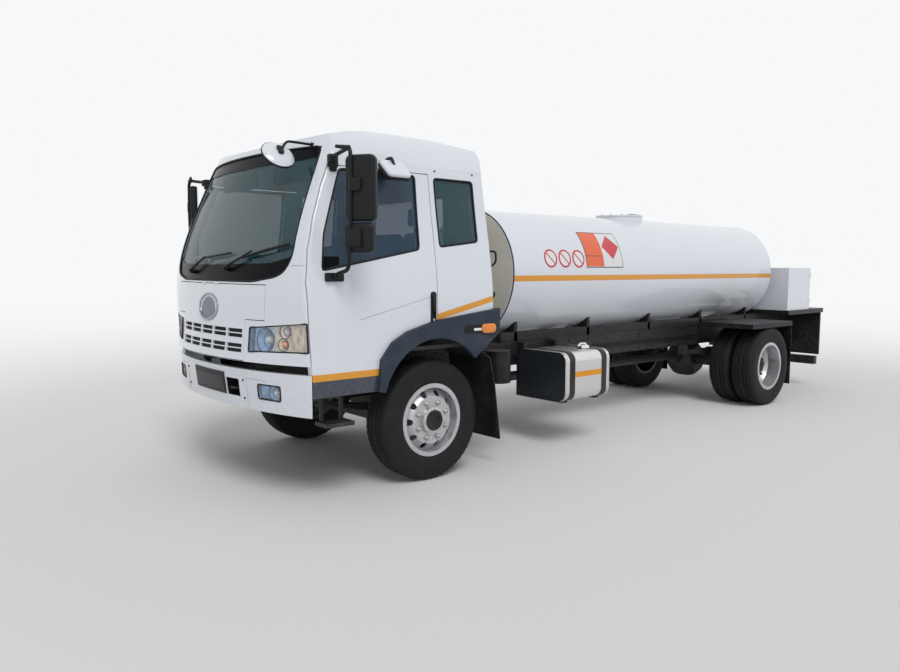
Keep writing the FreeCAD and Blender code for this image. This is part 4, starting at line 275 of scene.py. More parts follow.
def filled_outline(outline, rings=8):
    """A grid over a closed outline: rings that shrink from the outline to its middle."""
    middle = outline.mean(0)
    share = np.linspace(1, 0, rings)[:, None, None]
    return middle + (outline[None] - middle) * share


def surface(name, patches, outward=True):
    """A mesh from grids of points: seams and poles merged, faces turned outward."""
    points, faces = joined(patches)
    mesh = bpy.data.meshes.new(name)
    mesh.from_pydata(points, [], faces.tolist())
    work = bmesh.new()
    work.from_mesh(mesh)
    bmesh.ops.remove_doubles(work, verts=work.verts, dist=MERGE)
    if outward:
        bmesh.ops.recalc_face_normals(work, faces=work.faces)
    work.to_mesh(mesh)
    work.free()
    return mesh


def piece(name, patches, look, body, flat_over=35, outward=True):
    """Makes one object from grids of points, gives it its finish and puts it on its body."""
    mesh = surface(name, patches, outward)
    mesh.shade_smooth()
    mesh.set_sharp_from_angle(angle=math.radians(flat_over))
    made = bpy.data.objects.new(name, mesh)
    bpy.context.scene.collection.objects.link(made)
    mesh.materials.append(finish(look))
    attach(made, body)
    return made


# Finishes

class Value:
    """One output of a node, with Python's arithmetic on it."""

    def __init__(self, nodes, socket):
        self.nodes, self.socket = nodes, socket

    def math(self, operation, first, second=0.0, clamp=False):
        settings = {"operation": operation, "use_clamp": clamp}
        return self.nodes.node("ShaderNodeMath", settings, {0: first, 1: second})

    def __add__(self, other):
        return self.math("ADD", self, other)

    __radd__ = __add__

    def __sub__(self, other):
        return self.math("SUBTRACT", self, other)

    def __rsub__(self, other):
        return self.math("SUBTRACT", other, self)

    def __mul__(self, other):
        return self.math("MULTIPLY", self, other)

    __rmul__ = __mul__

    def __rtruediv__(self, other):
        return self.math("DIVIDE", other, self)

    def __gt__(self, other):
        return self.math("GREATER_THAN", self, other)

    def __lt__(self, other):
        return self.math("LESS_THAN", self, other)

    def __abs__(self):
        return self.math("ABSOLUTE", self)

    def clip(self):
        return self.math("ADD", self, 0.0, clamp=True)

    def between(self, low, high):
        return (self > low) * (self < high)

    def ramp(self, low, high):
        """0 below low, 1 above high."""
        return ((self - low) * (1 / (high - low))).clip()


class Nodes:
    """Adds nodes to a tree and joins them."""

    def __init__(self, tree):
        self.tree = tree

    def node(self, kind, settings=None, values=None, out=0):
        """Adds a node, sets its own settings, then its sockets; gives one of its outputs."""
        made = self.tree.nodes.new(kind)
        for key, value in (settings or {}).items():
            setattr(made, key, value)
        for key, value in (values or {}).items():
            self.feed(made.inputs[key], value)
        return Value(self, made.outputs[out])

    def feed(self, socket, value):
        if isinstance(value, Value):
            self.tree.links.new(value.socket, socket)
        elif socket.type == "RGBA" and len(value) == 3:
            socket.default_value = (*value, 1.0)
        else:
            socket.default_value = value

    def split(self, vector):
        """The three numbers of a vector."""
        made = self.node("ShaderNodeSeparateXYZ", values={0: vector}).socket.node
        return [Value(self, made.outputs[k]) for k in range(3)]

    def spot(self, stretch=None):
        """The surface's place in the truck's frame, each direction scaled if asked for."""
        place = self.node("ShaderNodeTexCoord", out="Object")
        if stretch:
            place = self.node("ShaderNodeMapping", values={"Vector": place, "Scale": stretch})
        return place

    def place(self):
        return self.split(self.spot())

    def noise(self, scale, detail=3.0, rough=0.55, stretch=None):
        return self.node("ShaderNodeTexNoise", values={"Vector": self.spot(stretch), "Scale": scale,
                                                       "Detail": detail, "Roughness": rough})

    def cells(self, scale, stretch=None):
        return self.node("ShaderNodeTexVoronoi", values={"Vector": self.spot(stretch), "Scale": scale})

    def wave(self, angle):
        return self.node("ShaderNodeMath", {"operation": "SINE"}, {0: angle})

    def mix(self, factor, first, second):
        return self.node("ShaderNodeMix", {"data_type": "RGBA"}, {0: factor, 6: first, 7: second}, out=2)


class Finish(Nodes):
    """A material built of nodes round one Principled BSDF."""

    def __init__(self, name, **fixed):
        self.material = bpy.data.materials.new(name)
        self.material.use_nodes = True
        super().__init__(self.material.node_tree)
        self.shader = self.tree.nodes["Principled BSDF"]
        for label, value in fixed.items():
            self.set(label.replace("_", " "), value)

    def set(self, label, value):
        self.feed(self.shader.inputs[label], value)

    def bump(self, height, depth):
        self.set("Normal", self.node("ShaderNodeBump", values={"Height": height, "Distance": depth,
                                                               "Strength": 1.0}))


def shade(colour, factor):
    return tuple(min(1.0, c * factor) for c in colour)


DUST = (0.30, 0.26, 0.21)


def paint(name, colour, bands=(), gloss=0.16, dust=0.5, coat=0.55, grain=0.00006, shine=0.5):
    """Sprayed paint: slow shifts of shade, fine orange peel, dust that thickens low down."""
    f = Finish(name, Coat_Weight=coat, Coat_Roughness=0.05, Specular_IOR_Level=shine)
    x, y, z = f.place()
    cloud = f.noise(2.2, 4.0)
    speck = f.noise(38.0, 5.0, 0.7)
    tint = f.mix(cloud, shade(colour, 0.965), shade(colour, 1.02))
    for mask, band in bands:
        tint = f.mix(mask(x, y, z), tint, band)
    low = ((1.25 - z) * 0.9).clip()
    grime = ((speck - 0.42) * 2.6 + (cloud - 0.5)).clip() * (low * dust + 0.03)
    f.set("Base Color", f.mix(grime, tint, DUST))
    f.set("Roughness", (grime * 0.6 + speck * 0.06 + gloss).clip())
    f.bump(f.noise(420.0, 2.0), grain)
    return f.material


def moulded(name, colour, roughness=0.5, scale=900.0, depth=0.00012, dust=0.35, shine=0.22):
    """Grained plastic: a fine pebbled skin, faint chalking and dust in the low places."""
    f = Finish(name, Specular_IOR_Level=shine)
    z = f.place()[2]
    cloud = f.noise(5.0, 5.0)
    grime = ((cloud - 0.45) * 2.0).clip() * ((1.6 - z) * 0.6).clip() * dust
    f.set("Base Color", f.mix(grime, f.mix(cloud, shade(colour, 0.85), shade(colour, 1.2)), DUST))
    f.set("Roughness", (cloud * 0.15 + roughness - 0.07 + grime * 0.3).clip())
    f.bump(f.cells(scale), depth)
    return f.material


def cast(name, colour):
    """Cast and forged running gear under thin black paint, with rust and road dust."""
    f = Finish(name)
    lumps = f.noise(60.0, 6.0, 0.7)
    patch = f.noise(7.0, 5.0, 0.65)
    rust = ((patch - 0.56) * 6.0).clip() * 0.5
    grime = ((lumps - 0.4) * 2.0).clip() * 0.35
    tint = f.mix(rust, colour, (0.10, 0.045, 0.022))
    f.set("Base Color", f.mix(grime, tint, shade(DUST, 0.6)))
    f.set("Roughness", (rust * 0.3 + 0.5 + grime * 0.3).clip())
    f.bump(lumps, 0.0012)
    return f.material


def rubber(name):
    """Tyre rubber: near black with fine grey flecks, and patches of brown dust."""
    f = Finish(name, Specular_IOR_Level=0.2)
    fine = f.noise(220.0, 4.0, 0.7)
    patch = f.noise(9.0, 5.0)
    grime = ((patch - 0.42) * 1.8).clip() * 0.35
    tint = f.mix(fine, (0.009, 0.0095, 0.0105), (0.018, 0.0185, 0.020))
    f.set("Base Color", f.mix(grime, tint, (0.055, 0.048, 0.040)))
    f.set("Roughness", (fine * 0.2 + 0.52 + grime * 0.25).clip())
    f.bump(fine, 0.0004)
    return f.material


def wheel_paint(name):
    """Silver wheel paint: metal flake and brake dust, with the inner side painted near black as painted
    shade inside the wheel.
    """
    f = Finish(name, Coat_Weight=0.3)
    y = f.place()[1]
    outer = abs(y).ramp(0.925, 0.945)
    flake = f.cells(1600.0)
    patch = f.noise(14.0, 5.0)
    grime = ((patch - 0.45) * 2.2).clip() * 0.35
    silver = f.mix(grime, f.mix(flake, (0.46, 0.47, 0.49), (0.68, 0.69, 0.71)), (0.16, 0.13, 0.10))
    # Near black inside the outer face: painted shade inside the wheel.
    f.set("Base Color", f.mix(outer, (0.020, 0.020, 0.021), silver))
    f.set("Metallic", (0.75 - grime * 1.2).clip() * outer)
    f.set("Roughness", (0.30 + patch * 0.12 + grime * 0.5).clip())
    f.bump(f.noise(300.0, 2.0), 0.00008)
    return f.material


def bright_metal(name, colour, roughness=0.18, bands=(), brush=(1, 1, 1), depth=0.00005):
    """Polished or brushed metal, with fine scratches drawn out along the brushing."""
    f = Finish(name)
    x, y, z = f.place()
    lines = f.noise(260.0, 4.0, 0.7, stretch=brush)
    cloud = f.noise(6.0, 4.0)
    tint = f.mix(lines, shade(colour, 0.86), colour)
    painted = 0.0
    for mask, band in bands:
        here = mask(x, y, z)
        tint = f.mix(here, tint, band)
        painted = here + painted
    f.set("Base Color", tint)
    f.set("Metallic", 1.0 - painted if bands else 1.0)
    f.set("Roughness", (lines * 0.14 + cloud * 0.08 + roughness).clip())
    f.bump(lines, depth)
    return f.material


def reflector(name):
    """A lamp's bright reflector: a blue-grey tint round the bowls and darkened facets, both painted
    reflection, warm and ribbed towards the outer end.
    """
    f = Finish(name)
    y = f.place()[1]
    facets = f.cells(26.0, (1, 1, 0.5))
    warm = abs(y).ramp(0.86, 0.90)
    fluted = abs(y).ramp(1.02, 1.03)
    ribs = f.wave(y * (math.tau / 0.022)) * 0.5 + 0.5
    # The blue-grey tint and the darkening of the facets are painted reflection on the bright metal.
    tint = f.mix(warm, (0.22, 0.38, 0.62), (0.82, 0.70, 0.55))
    tint = f.mix(facets * 1.4, f.mix(0.35, (0.0, 0.0, 0.0), tint), tint)
    f.set("Base Color", f.mix(ribs * fluted * 0.3, tint, (0.50, 0.38, 0.26)))
    f.set("Metallic", 0.85 - warm * 0.6)
    f.set("Roughness", facets * 0.10 + 0.08 + warm * 0.2)
    f.bump(facets * (1.0 - fluted) + ribs * fluted, 0.002)
    return f.material


def glass(name, colour, alpha, roughness=0.02):
    """Tinted glass: mostly see-through, with a thin film of dust in patches."""
    f = Finish(name, Coat_Weight=0.2, Coat_Roughness=0.01, IOR=1.52, Specular_IOR_Level=0.4)
    cloud = f.noise(3.5, 5.0)
    film = ((cloud - 0.5) * 1.6).clip() * 0.07
    f.set("Base Color", f.mix(film, colour, (0.5, 0.5, 0.48)))
    f.set("Roughness", film * 1.4 + roughness)
    f.set("Alpha", (film + alpha).clip())
    return f.material


def lens(name, colour, alpha=0.8, ribs=180.0):
    """Moulded lamp lens: coloured, glossy, with fine ribs under the surface."""
    f = Finish(name, Coat_Weight=1.0)
    ripple = f.cells(ribs, (1, 1, 1))
    f.set("Base Color", f.mix(ripple, shade(colour, 0.65), shade(colour, 1.15)))
    f.set("Roughness", ripple * 0.1 + 0.08)
    f.set("Alpha", (ripple * 0.1 + alpha).clip())
    f.bump(ripple, 0.0008)
    return f.material


def woven(name, colour, thread=0.0022):
    """Seat cloth: two crossing sets of threads, flecks, and a soft sheen."""
    f = Finish(name, Sheen_Weight=0.4)
    x, y, z = f.place()
    weft, warp = (f.wave(run * (math.tau / thread)) for run in (y + z * 0.5, x + z * 0.8))
    weave = weft * warp * 0.5 + 0.5
    fleck = f.noise(320.0, 3.0)
    light = (weave * 0.6 + fleck * 0.4).clip()
    f.set("Base Color", f.mix(light, shade(colour, 0.6), shade(colour, 1.35)))
    f.set("Roughness", weave * 0.1 + 0.82)
    f.bump(weave, 0.0004)
    return f.material


def placard_face(name):
    """The blank hazard plate: orange half, white half, black frame and a plain red diamond.
    u runs along the truck and v up."""
    f = Finish(name, Coat_Weight=0.4)
    u, v, _ = f.split(f.node("ShaderNodeUVMap"))
    grain = f.noise(90.0, 3.0)
    orange = (u < 0.47) * (v > 0.03)
    bar = (abs(v - 0.30) < 0.009) * (u < 0.47)
    diamond = (abs(u - 0.735) * 1.47 + abs(v - 0.56)) < 0.345
    edge = (abs(u - 0.5) > 0.487) + (abs(v - 0.5) > 0.478)
    tint = f.mix(grain, (0.72, 0.73, 0.75), (0.80, 0.81, 0.82))
    tint = f.mix(orange, tint, (0.80, 0.13, 0.035))
    tint = f.mix(diamond, tint, (0.62, 0.03, 0.055))
    tint = f.mix((edge + bar).clip(), tint, (0.02, 0.022, 0.026))
    f.set("Base Color", tint)
    f.set("Roughness", grain * 0.1 + 0.3)
    return f.material


def line_band(x, z, x0, z0, x1, z1, depth):
    """A mask for a stripe whose lower edge runs from one point to another."""
    lower = z0 + (x - (AXLE + x0)) * ((z1 - z0) / (x1 - x0))
    return (z > lower) * (z < lower + depth)


class TankerColours(bpy.types.PropertyGroup):
    """Colours of the paint and plastics."""

    def tone(label, words, default):
        return FloatVectorProperty(name=label, description=words, subtype="COLOR", size=3, min=0, max=1,
                                   default=default)
    # The body white's blue cast is painted light: it stands in for the bluish light that falls on the
    # white paint.
    white: tone("Body white", "Gloss white of the cab, barrel and cabinet", (0.76, 0.79, 0.85))
    stripe: tone("Stripe orange", "Stripes on the doors, barrel and fuel tank", (0.78, 0.32, 0.004))
    slate: tone("Slate", "Moulded flares and sills", (0.030, 0.042, 0.064))
    black: tone("Chassis black", "Satin black of the frame and deck", (0.012, 0.0125, 0.014))
    cream: tone("Barrel end", "Off-white of the barrel's front end", (0.64, 0.61, 0.52))
    plastic: tone("Black plastic", "Mirrors, grille backing and trim", (0.011, 0.012, 0.014))
    amber: tone("Amber", "Turn lamps", (1.0, 0.25, 0.006))
    cloth: tone("Seat cloth", "Woven seat covers", (0.075, 0.085, 0.10))


class TankerSizes(bpy.types.PropertyGroup):
    """Sizes of the trim that a user would change."""

    groove_depth: FloatProperty(name="Groove depth", description="Depth of the tyre's grooves",
                                default=0.013, unit="LENGTH")
    tread_blocks: IntProperty(name="Shoulder notches", description="Notches round each shoulder",
                              default=54, min=8)
    nut_radius: FloatProperty(name="Wheel nut", description="Half width of a wheel nut",
                              default=0.0205, unit="LENGTH")
    seal_radius: FloatProperty(name="Glass seal", description="Thickness of the rubber round the glass",
                               default=0.008, unit="LENGTH")
    badge_wide: FloatProperty(name="Badge width", description="Half width of the plain oval badge",
                              default=0.183, unit="LENGTH")
    badge_tall: FloatProperty(name="Badge height", description="Half height of the plain oval badge",
                              default=0.111, unit="LENGTH")
    pad_swell: FloatProperty(name="Cushion cap", description="How far a cushion may swell",
                             default=0.024, unit="LENGTH")


class TankerStage(bpy.types.PropertyGroup):
    """Floor, light and camera."""

    floor_tone: FloatProperty(name="Floor", description="Brightness of the pale floor", default=0.78)
    sky: FloatProperty(name="Fill", description="Strength of the light from all round", default=0.50)
    key: FloatProperty(name="Key", description="Strength of the main lamp", default=1.35)
    lens: FloatProperty(name="Focal length", description="Camera lens in millimetres", default=30.33)


def colour(name):
    return tuple(getattr(bpy.context.scene.tanker_colours, name))


SIDE_FROM = 1.175            # half the cab's width past which a point lies on its side
SILL_TOP, STRIPE_TOP = 0.943, 0.993


def door_bands():
    def stripe(x, y, z):
        return z.between(SILL_TOP, STRIPE_TOP) * (abs(y) > SIDE_FROM) * (x > AXLE + 0.58)

    def sill(x, y, z):
        return (z < SILL_TOP) * (abs(y) > SIDE_FROM)
    return [(stripe, colour("stripe")), (sill, colour("slate"))]


def cab_bands():
    def quarter(x, y, z):
        band = line_band(x, z, 0.0, 1.345, -0.565, 1.467, 0.05)
        return band * (abs(y) > SIDE_FROM) * (x < AXLE + 0.03) * (x > AXLE - 0.62)
    return [(quarter, colour("stripe"))]


def barrel_bands():
    def stripe(x, y, z):
        run = x.between(AXLE + BARREL_REAR, AXLE + BARREL_FRONT)
        return z.between(1.622, 1.681) * (abs(y) > 0.4) * run

    def front(x, y, z):
        return x > AXLE + BARREL_FRONT + 0.004
    return [(stripe, colour("stripe")), (front, colour("cream"))]


def fuel_bands():
    def stripe(x, y, z):
        return z.between(0.700, 0.755) * (y > 1.0) * x.between(AXLE - 2.155, AXLE - 1.735)

    def end(x, y, z):
        return x > AXLE - 1.6012
    return [(stripe, colour("stripe")), (end, (0.02, 0.024, 0.03))]


# Each slot's looks, with how each one is made.
LOOKS = {
    "white_paint": {
        "white": lambda: paint("body_white", colour("white")),
        "door": lambda: paint("door_white", colour("white"), door_bands()),
        "cab": lambda: paint("cab_white", colour("white"), cab_bands()),
        "barrel": lambda: paint("barrel_white", colour("white"), barrel_bands(), gloss=0.2),
        "placard": lambda: placard_face("hazard_plate"),
        "white_print": lambda: paint("white_print", (0.80, 0.81, 0.83), gloss=0.3, coat=0.3),
        # Grey for the seams' joint lines; along the door's crease the grey is painted shade.
        "crease": lambda: paint("crease_shade", (0.36, 0.37, 0.40), gloss=0.3, coat=0.2),
    },
    "chassis_black": {
        "black": lambda: paint("chassis_satin", colour("black"), gloss=0.34, coat=0.05, dust=0.5,
                               grain=0.00015, shine=0.25),
    },
    "cast_grey": {
        "cast": lambda: cast("cast_iron", (0.018, 0.018, 0.019)),
    },
    "dark_plastic": {
        "slate": lambda: moulded("slate_moulding", colour("slate"), 0.42, 700.0),
    },
    "black_plastic": {
        "plastic": lambda: moulded("black_moulding", colour("plastic"), 0.42),
        "gloss_black": lambda: moulded("gloss_black", (0.004, 0.0045, 0.006), 0.25, 1400.0, 0.00002,
                                       0.1, 0.05),
        "seal": lambda: moulded("rubber_seal", (0.010, 0.0105, 0.012), 0.55, 1200.0, 0.00005, 0.1),
        "plate": lambda: moulded("blank_plate", (0.030, 0.032, 0.036), 0.35, 300.0, 0.0003, 0.2),
    },
    "cab_trim": {
        "trim": lambda: moulded("cab_trim", (0.055, 0.058, 0.062), 0.6, 500.0, 0.0003, 0.0),
    },
    "tyre_rubber": {
        "rubber": lambda: rubber("tyre_rubber"),
    },
    "wheel_silver": {
        "wheel": lambda: wheel_paint("wheel_silver"),
        "steel": lambda: bright_metal("zinc_steel", (0.52, 0.52, 0.50), 0.28),
    },
    "polished_alloy": {
        "fuel": lambda: bright_metal("polished_alloy", (0.80, 0.80, 0.79), 0.16, fuel_bands(),
                                     (12, 1, 1)),
        "chrome": lambda: bright_metal("chrome", (0.86, 0.87, 0.88), 0.04, depth=0.00001),
        "mirror": lambda: bright_metal("mirror_glass", (0.80, 0.83, 0.85), 0.0, depth=0.000002),
        "badge_disc": lambda: bright_metal("badge_disc", (0.20, 0.22, 0.26), 0.22),
        "badge_rim": lambda: bright_metal("badge_rim", (0.36, 0.38, 0.42), 0.2),
    },
    "clear_glass": {
        "cab_glass": lambda: glass("cab_glass_tint", (0.010, 0.085, 0.100), 0.40),
        "side_glass": lambda: glass("side_glass_tint", (0.014, 0.055, 0.110), 0.55),
    },
    "lamp_glass": {
        "clear": lambda: glass("lamp_cover_clear", (0.80, 0.84, 0.88), 0.10),
        "amber": lambda: lens("amber_lens", colour("amber"), 0.95),
        "clear_bulb": lambda: lens("bulb_glass", (0.75, 0.80, 0.90), 0.85, 60.0),
        "reflector": lambda: reflector("lamp_reflector"),
    },
    "lamp_red": {
        "red": lambda: lens("red_lens", (0.50, 0.012, 0.010)),
        "white_lens": lambda: lens("white_lens", (0.75, 0.77, 0.80)),
        "red_print": lambda: paint("red_print", (0.60, 0.02, 0.045), gloss=0.3, coat=0.3),
    },
    "seat_fabric": {
        "cloth": lambda: woven("seat_cloth", colour("cloth")),
    },
}
SLOT_OF = {look: slot for slot, looks in LOOKS.items() for look in looks}
MADE = {}


def finish(look):
    """A look's material, made the first time it is asked for."""
    if look not in MADE:
        MADE[look] = LOOKS[SLOT_OF[look]][look]()
    return MADE[look]


NODE_FINISH = {
    "white": ("pump_cabinet", "cabinet_door_left", "cabinet_door_right", "manlid", "cab_roof",
              "front_bumper", "front_flap"),
    "door": ("door_left", "door_right"),
    "cab": ("cab_shell",),
    "barrel": ("tank_shell",),
    "black": ("chassis_frame", "tank_subframe", "rear_deck", "rear_panel", "underrun_bar",
              "fuel_tank_brackets", "battery_box", "air_tanks", "steps"),
    "cast": ("front_axle_beam", "leaf_springs", "rear_axle", "engine_block", "drive_shaft",
             "knuckle_left", "knuckle_right", "track_rod", "exhaust_silencer"),
    "slate": ("arch_flares",),
    "plastic": ("rear_mudguards", "front_mudguards", "air_cleaner", "steering_wheel", "mirrors_left",
                "mirrors_right", "front_mirror"),
    "trim": ("cab_floor", "dashboard"),
    "wheel": ("rim_front_left", "rim_front_right", "rims_rear_left", "rims_rear_right"),
    "fuel": ("fuel_tank",),
    "cab_glass": ("cab_glass",),
    "side_glass": ("door_left_glass", "door_right_glass"),
    "clear": ("headlamps", "fog_lamps"),
    "red": ("tail_lamps",),
    "rubber": ("tyre_front_left", "tyre_front_right", "tyres_rear_left", "tyres_rear_right"),
    "cloth": ("seats",),
}


class TankerOperator(bpy.types.Operator):
    """Base of the tanker's operators."""

    bl_options = {"REGISTER", "UNDO"}

    def execute(self, context):
        self.make(context.scene)
        return {"FINISHED"}


class TANKER_OT_finishes(TankerOperator):
    """Gives every carried-over part its material"""

    bl_idname = "tanker.finishes"
    bl_label = "Part finishes"

    def make(self, scene):
        for name, labels in NODE_FINISH.items():
            for label in labels:
                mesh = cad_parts[label].data
                mesh.materials.clear()
                mesh.materials.append(finish(name))


# Tyres and wheels

# Half a tyre's section: distance from the middle, drop from the tread, and the kind of point:
# 1 is a groove's floor and 2 lies on the notched shoulder.
HALF_TREAD = (
    (0.000, 0.0000, 0), (0.0255, 0.0002, 0), (0.0285, 1.0000, 1), (0.0365, 1.0000, 1),
    (0.0395, 0.0006, 0), (0.0655, 0.0015, 0), (0.0685, 1.0000, 1), (0.0765, 1.0000, 1),
    (0.0795, 0.0025, 0), (0.0900, 0.0042, 2), (0.1030, 0.0065, 2), (0.1150, 0.0105, 2),
    (0.1230, 0.0170, 2), (0.1285, 0.0270, 0), (0.1325, 0.0430, 0), (0.1342, 0.0460, 0),
    (0.1348, 0.0600, 0), (0.1362, 0.0640, 0), (0.1374, 0.0900, 0), (0.1372, 0.1150, 0),
    (0.1350, 0.1420, 0), (0.1310, 0.1640, 0), (0.1300, 0.1670, 0), (0.1312, 0.1700, 0),
    (0.1290, 0.1780, 0), (0.1262, 0.1880, 0), (0.1235, 0.1960, 0), (0.1160, 0.2005, 0),
    (0.1130, 0.2100, 0), (0.1110, 0.2215, 0), (0.1040, 0.2224, 0), (0.0980, 0.2080, 0),
    (0.1120, 0.1500, 0), (0.1150, 0.1000, 0), (0.1040, 0.0420, 0), (0.0000, 0.0320, 0))
TREAD_RADIUS, NOTCH_DEPTH, STEPS_PER_NOTCH = 0.5048, 0.006, 4
SWAY, SWAY_WITHIN = 0.0016, 0.082        # how far the grooves wander, and the ribs that do


def tyre_surface(centre, groove, notches):
    """A tyre: half a section of (distance from the middle, drop from the tread) mirrored and
    swept round the axle. Grooves drop by the groove depth; the shoulders dip once a notch."""
    y, drop, kind = (np.concatenate([sign * column[:-1][::-1][:-1], column])
                     for sign, column in zip((-1, 1, 1), np.array(HALF_TREAD).T))
    drop = np.where(kind == 1, groove, drop)
    step = np.arange(notches * STEPS_PER_NOTCH)[:, None]
    angle = math.tau * step / len(step)
    notch = (step % STEPS_PER_NOTCH == 0) * (kind == 2) * NOTCH_DEPTH
    sway = np.where(np.abs(y) < SWAY_WITHIN, SWAY, 0.0) * (step // 2 % 2 * 2 - 1)
    radius = TREAD_RADIUS - drop - notch
    return np.stack([radius * np.cos(angle), y + sway, radius * np.sin(angle)], -1) + np.asarray(centre)


class TANKER_OT_tyres(TankerOperator):
    """Six road tyres with grooved tread and ribbed sidewalls"""

    bl_idname = "tanker.tyres"
    bl_label = "Tyres"

    def make(self, scene):
        sizes = scene.tanker_sizes
        for label, x, y, body, nodes in ALL_WHEELS:
            places = [y, y - math.copysign(TWIN_SPACING, y)] if "rear" in label else [y]
            grids = [(tyre_surface((x, at, WHEEL_Z), sizes.groove_depth, sizes.tread_blocks), True, True)
                     for at in places]
            made = piece(f"road_tyre_{label}", grids, "rubber", body, 28)
            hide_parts(*nodes)


def nut(centre, side, radius, height):
    """A wheel nut that points out to one side: a washer, a six-sided turned form and the
    stud's domed end. Profiles are (share of the radius, height)."""
    forms = (([(0, 0), (1.45, 0), (1.45, 0.0025), (1.25, 0.004), (0, 0.004)], 20),
             ([(0, 0.003), (1.12, 0.003), (1.12, height * 0.8), (0.85, height), (0, height)], 6),
             ([(0, height), (0.5, height), (0.5, height * 1.3), (0.38, height * 1.38),
               (0, height * 1.38)], 14))
    return [rings_around([(radius * share, side * out) for share, out in profile], centre, count=count)
            for profile, count in forms]


def around_axle(x, y, radius, count, turn=0.0):
    """Places round a wheel's axle at one radius; turn is a share of a step."""
    return [(x + radius * math.cos(at), y, WHEEL_Z + radius * math.sin(at))
            for at in math.tau * (np.arange(count) + turn) / count]


class TANKER_OT_wheel_trim(TankerOperator):
    """Wheel nuts, hubs with their covers, and tyre valves"""

    bl_idname = "tanker.wheel_trim"
    bl_label = "Wheel trim"

    nut_circle, nut_count, screw_circle = 0.152, 8, 0.099
    hub_radius, hub_rim = 0.1135, 0.003
    cover = ((0, 0), (0.086, 0), (0.086, 0.004), (0.083, 0.010), (0.060, 0.012), (0.056, 0.006),
             (0.030, 0.006), (0.026, 0.011), (0, 0.012))
    # The disc's face, the hub's end and a nut's height, out from the wheel's middle.
    front_reach, rear_reach = (0.118, 0.150, 0.026), (-0.1435, -0.0075, 0.034)

    def make(self, scene):
        for label, x, y, body, _ in ALL_WHEELS:
            side = math.copysign(1, y)
            front = "front" in label
            face, end, height = self.front_reach if front else self.rear_reach
            face, end = y + side * face, y + side * end
            nuts = [part for spot in around_axle(x, face, self.nut_circle, self.nut_count, 0.5)
                    for part in nut(spot, side, scene.tanker_sizes.nut_radius, height)]
            piece(f"wheel_nuts_{label}", nuts, "steel", body, 30)

            wall = self.hub_radius
            profile = [(0, face), (wall, face)] + [
                (wall - inset, end + side * out) for inset, out in
                ((0, -0.008), (0.004, 0), (0.012, self.hub_rim), (wall, self.hub_rim))]
            hub = [rings_around(profile, (x, 0, WHEEL_Z), count=56)]
            for spot in around_axle(x, end + side * self.hub_rim, self.screw_circle, self.nut_count):
                hub += nut(spot, side, 0.0065, 0.008)
            piece(f"hub_{label}", hub, "wheel" if front else "plastic", body, 30)
            profile = [(radius, end + side * out) for radius, out in self.cover]
            piece(f"hub_cover_{label}", [rings_around(profile, (x, 0, WHEEL_Z), count=56)], "plastic",
                  body, 30)

            near = np.array([x + 0.02, y + side * 0.1, WHEEL_Z + 0.262])
            path = near + np.array([(0, 0, 0), (0, side * 0.012, -0.012), (0, side * 0.035, -0.016)])
            piece(f"tyre_valve_{label}", [tube(eased_path(path, 12), 0.004, 10)], "steel", body)


# Lamps

RIB_DEPTH, RIB_PITCH = 0.004, 0.018


def lamp_bowl(y, z, bowls, setback, ribs_from):
    """The reflector: the front set back, with a deeper round bowl at each centre and ripples
    towards the outer end."""
    depth = np.full(y.shape, setback)
    for cy, cz, radius, extra in bowls:
        share = ((y - cy) ** 2 + (z - cz) ** 2) / radius**2
        depth = np.maximum(depth, setback + extra * np.clip(1 - share, 0, 1))
    ribs = np.clip((y - ribs_from) / 0.02, 0, 1)
    return depth + ribs * RIB_DEPTH * np.sin(y * math.tau / RIB_PITCH)


def pane(corners, rows, columns):
    """A grid of (y, z) between four corners, in the order low inner, low outer, high outer,
    high inner."""
    u = np.linspace(0, 1, columns)[None, :, None]
    v = np.linspace(0, 1, rows)[:, None, None]
    a, b, c, d = np.asarray(corners, float)
    spots = (1 - v) * ((1 - u) * a + u * b) + v * ((1 - u) * d + u * c)
    return spots[..., 0], spots[..., 1]


# A bowl is y, z, radius and depth; a bulb is y, z, radius, distance behind the front and look.
HEADLAMP = {
    "corners": ((0.643, 1.134), (1.188, 1.153), (1.188, 1.363), (0.643, 1.313)), "reach": 0.022,
    "bowls": ((0.788, 1.226, 0.088, 0.05), (0.982, 1.295, 0.050, 0.026), (0.964, 1.200, 0.046, 0.026)),
    "bulbs": ((0.788, 1.226, 0.030, 0.060, "clear_bulb"), (0.964, 1.200, 0.024, 0.040, "amber"),
              (0.982, 1.295, 0.018, 0.040, "clear_bulb")),
    "body": "cab", "node": "headlamps", "levels": CAB_FRONT, "ribs_from": 1.030, "deep": 0.026,
    "corner": 0.012}
FOG_LAMP = {
    "corners": rect(0.697, 0.933, 0.780, 0.891), "reach": 0.0, "bowls": ((0.86, 0.835, 0.058, 0.022),),
    "bulbs": ((0.86, 0.835, 0.02, 0.03, "clear_bulb"),), "body": "chassis", "node": "fog_lamps",
    "levels": BUMPER_FRONT, "ribs_from": 2.0, "deep": 0.014, "corner": 0.022}


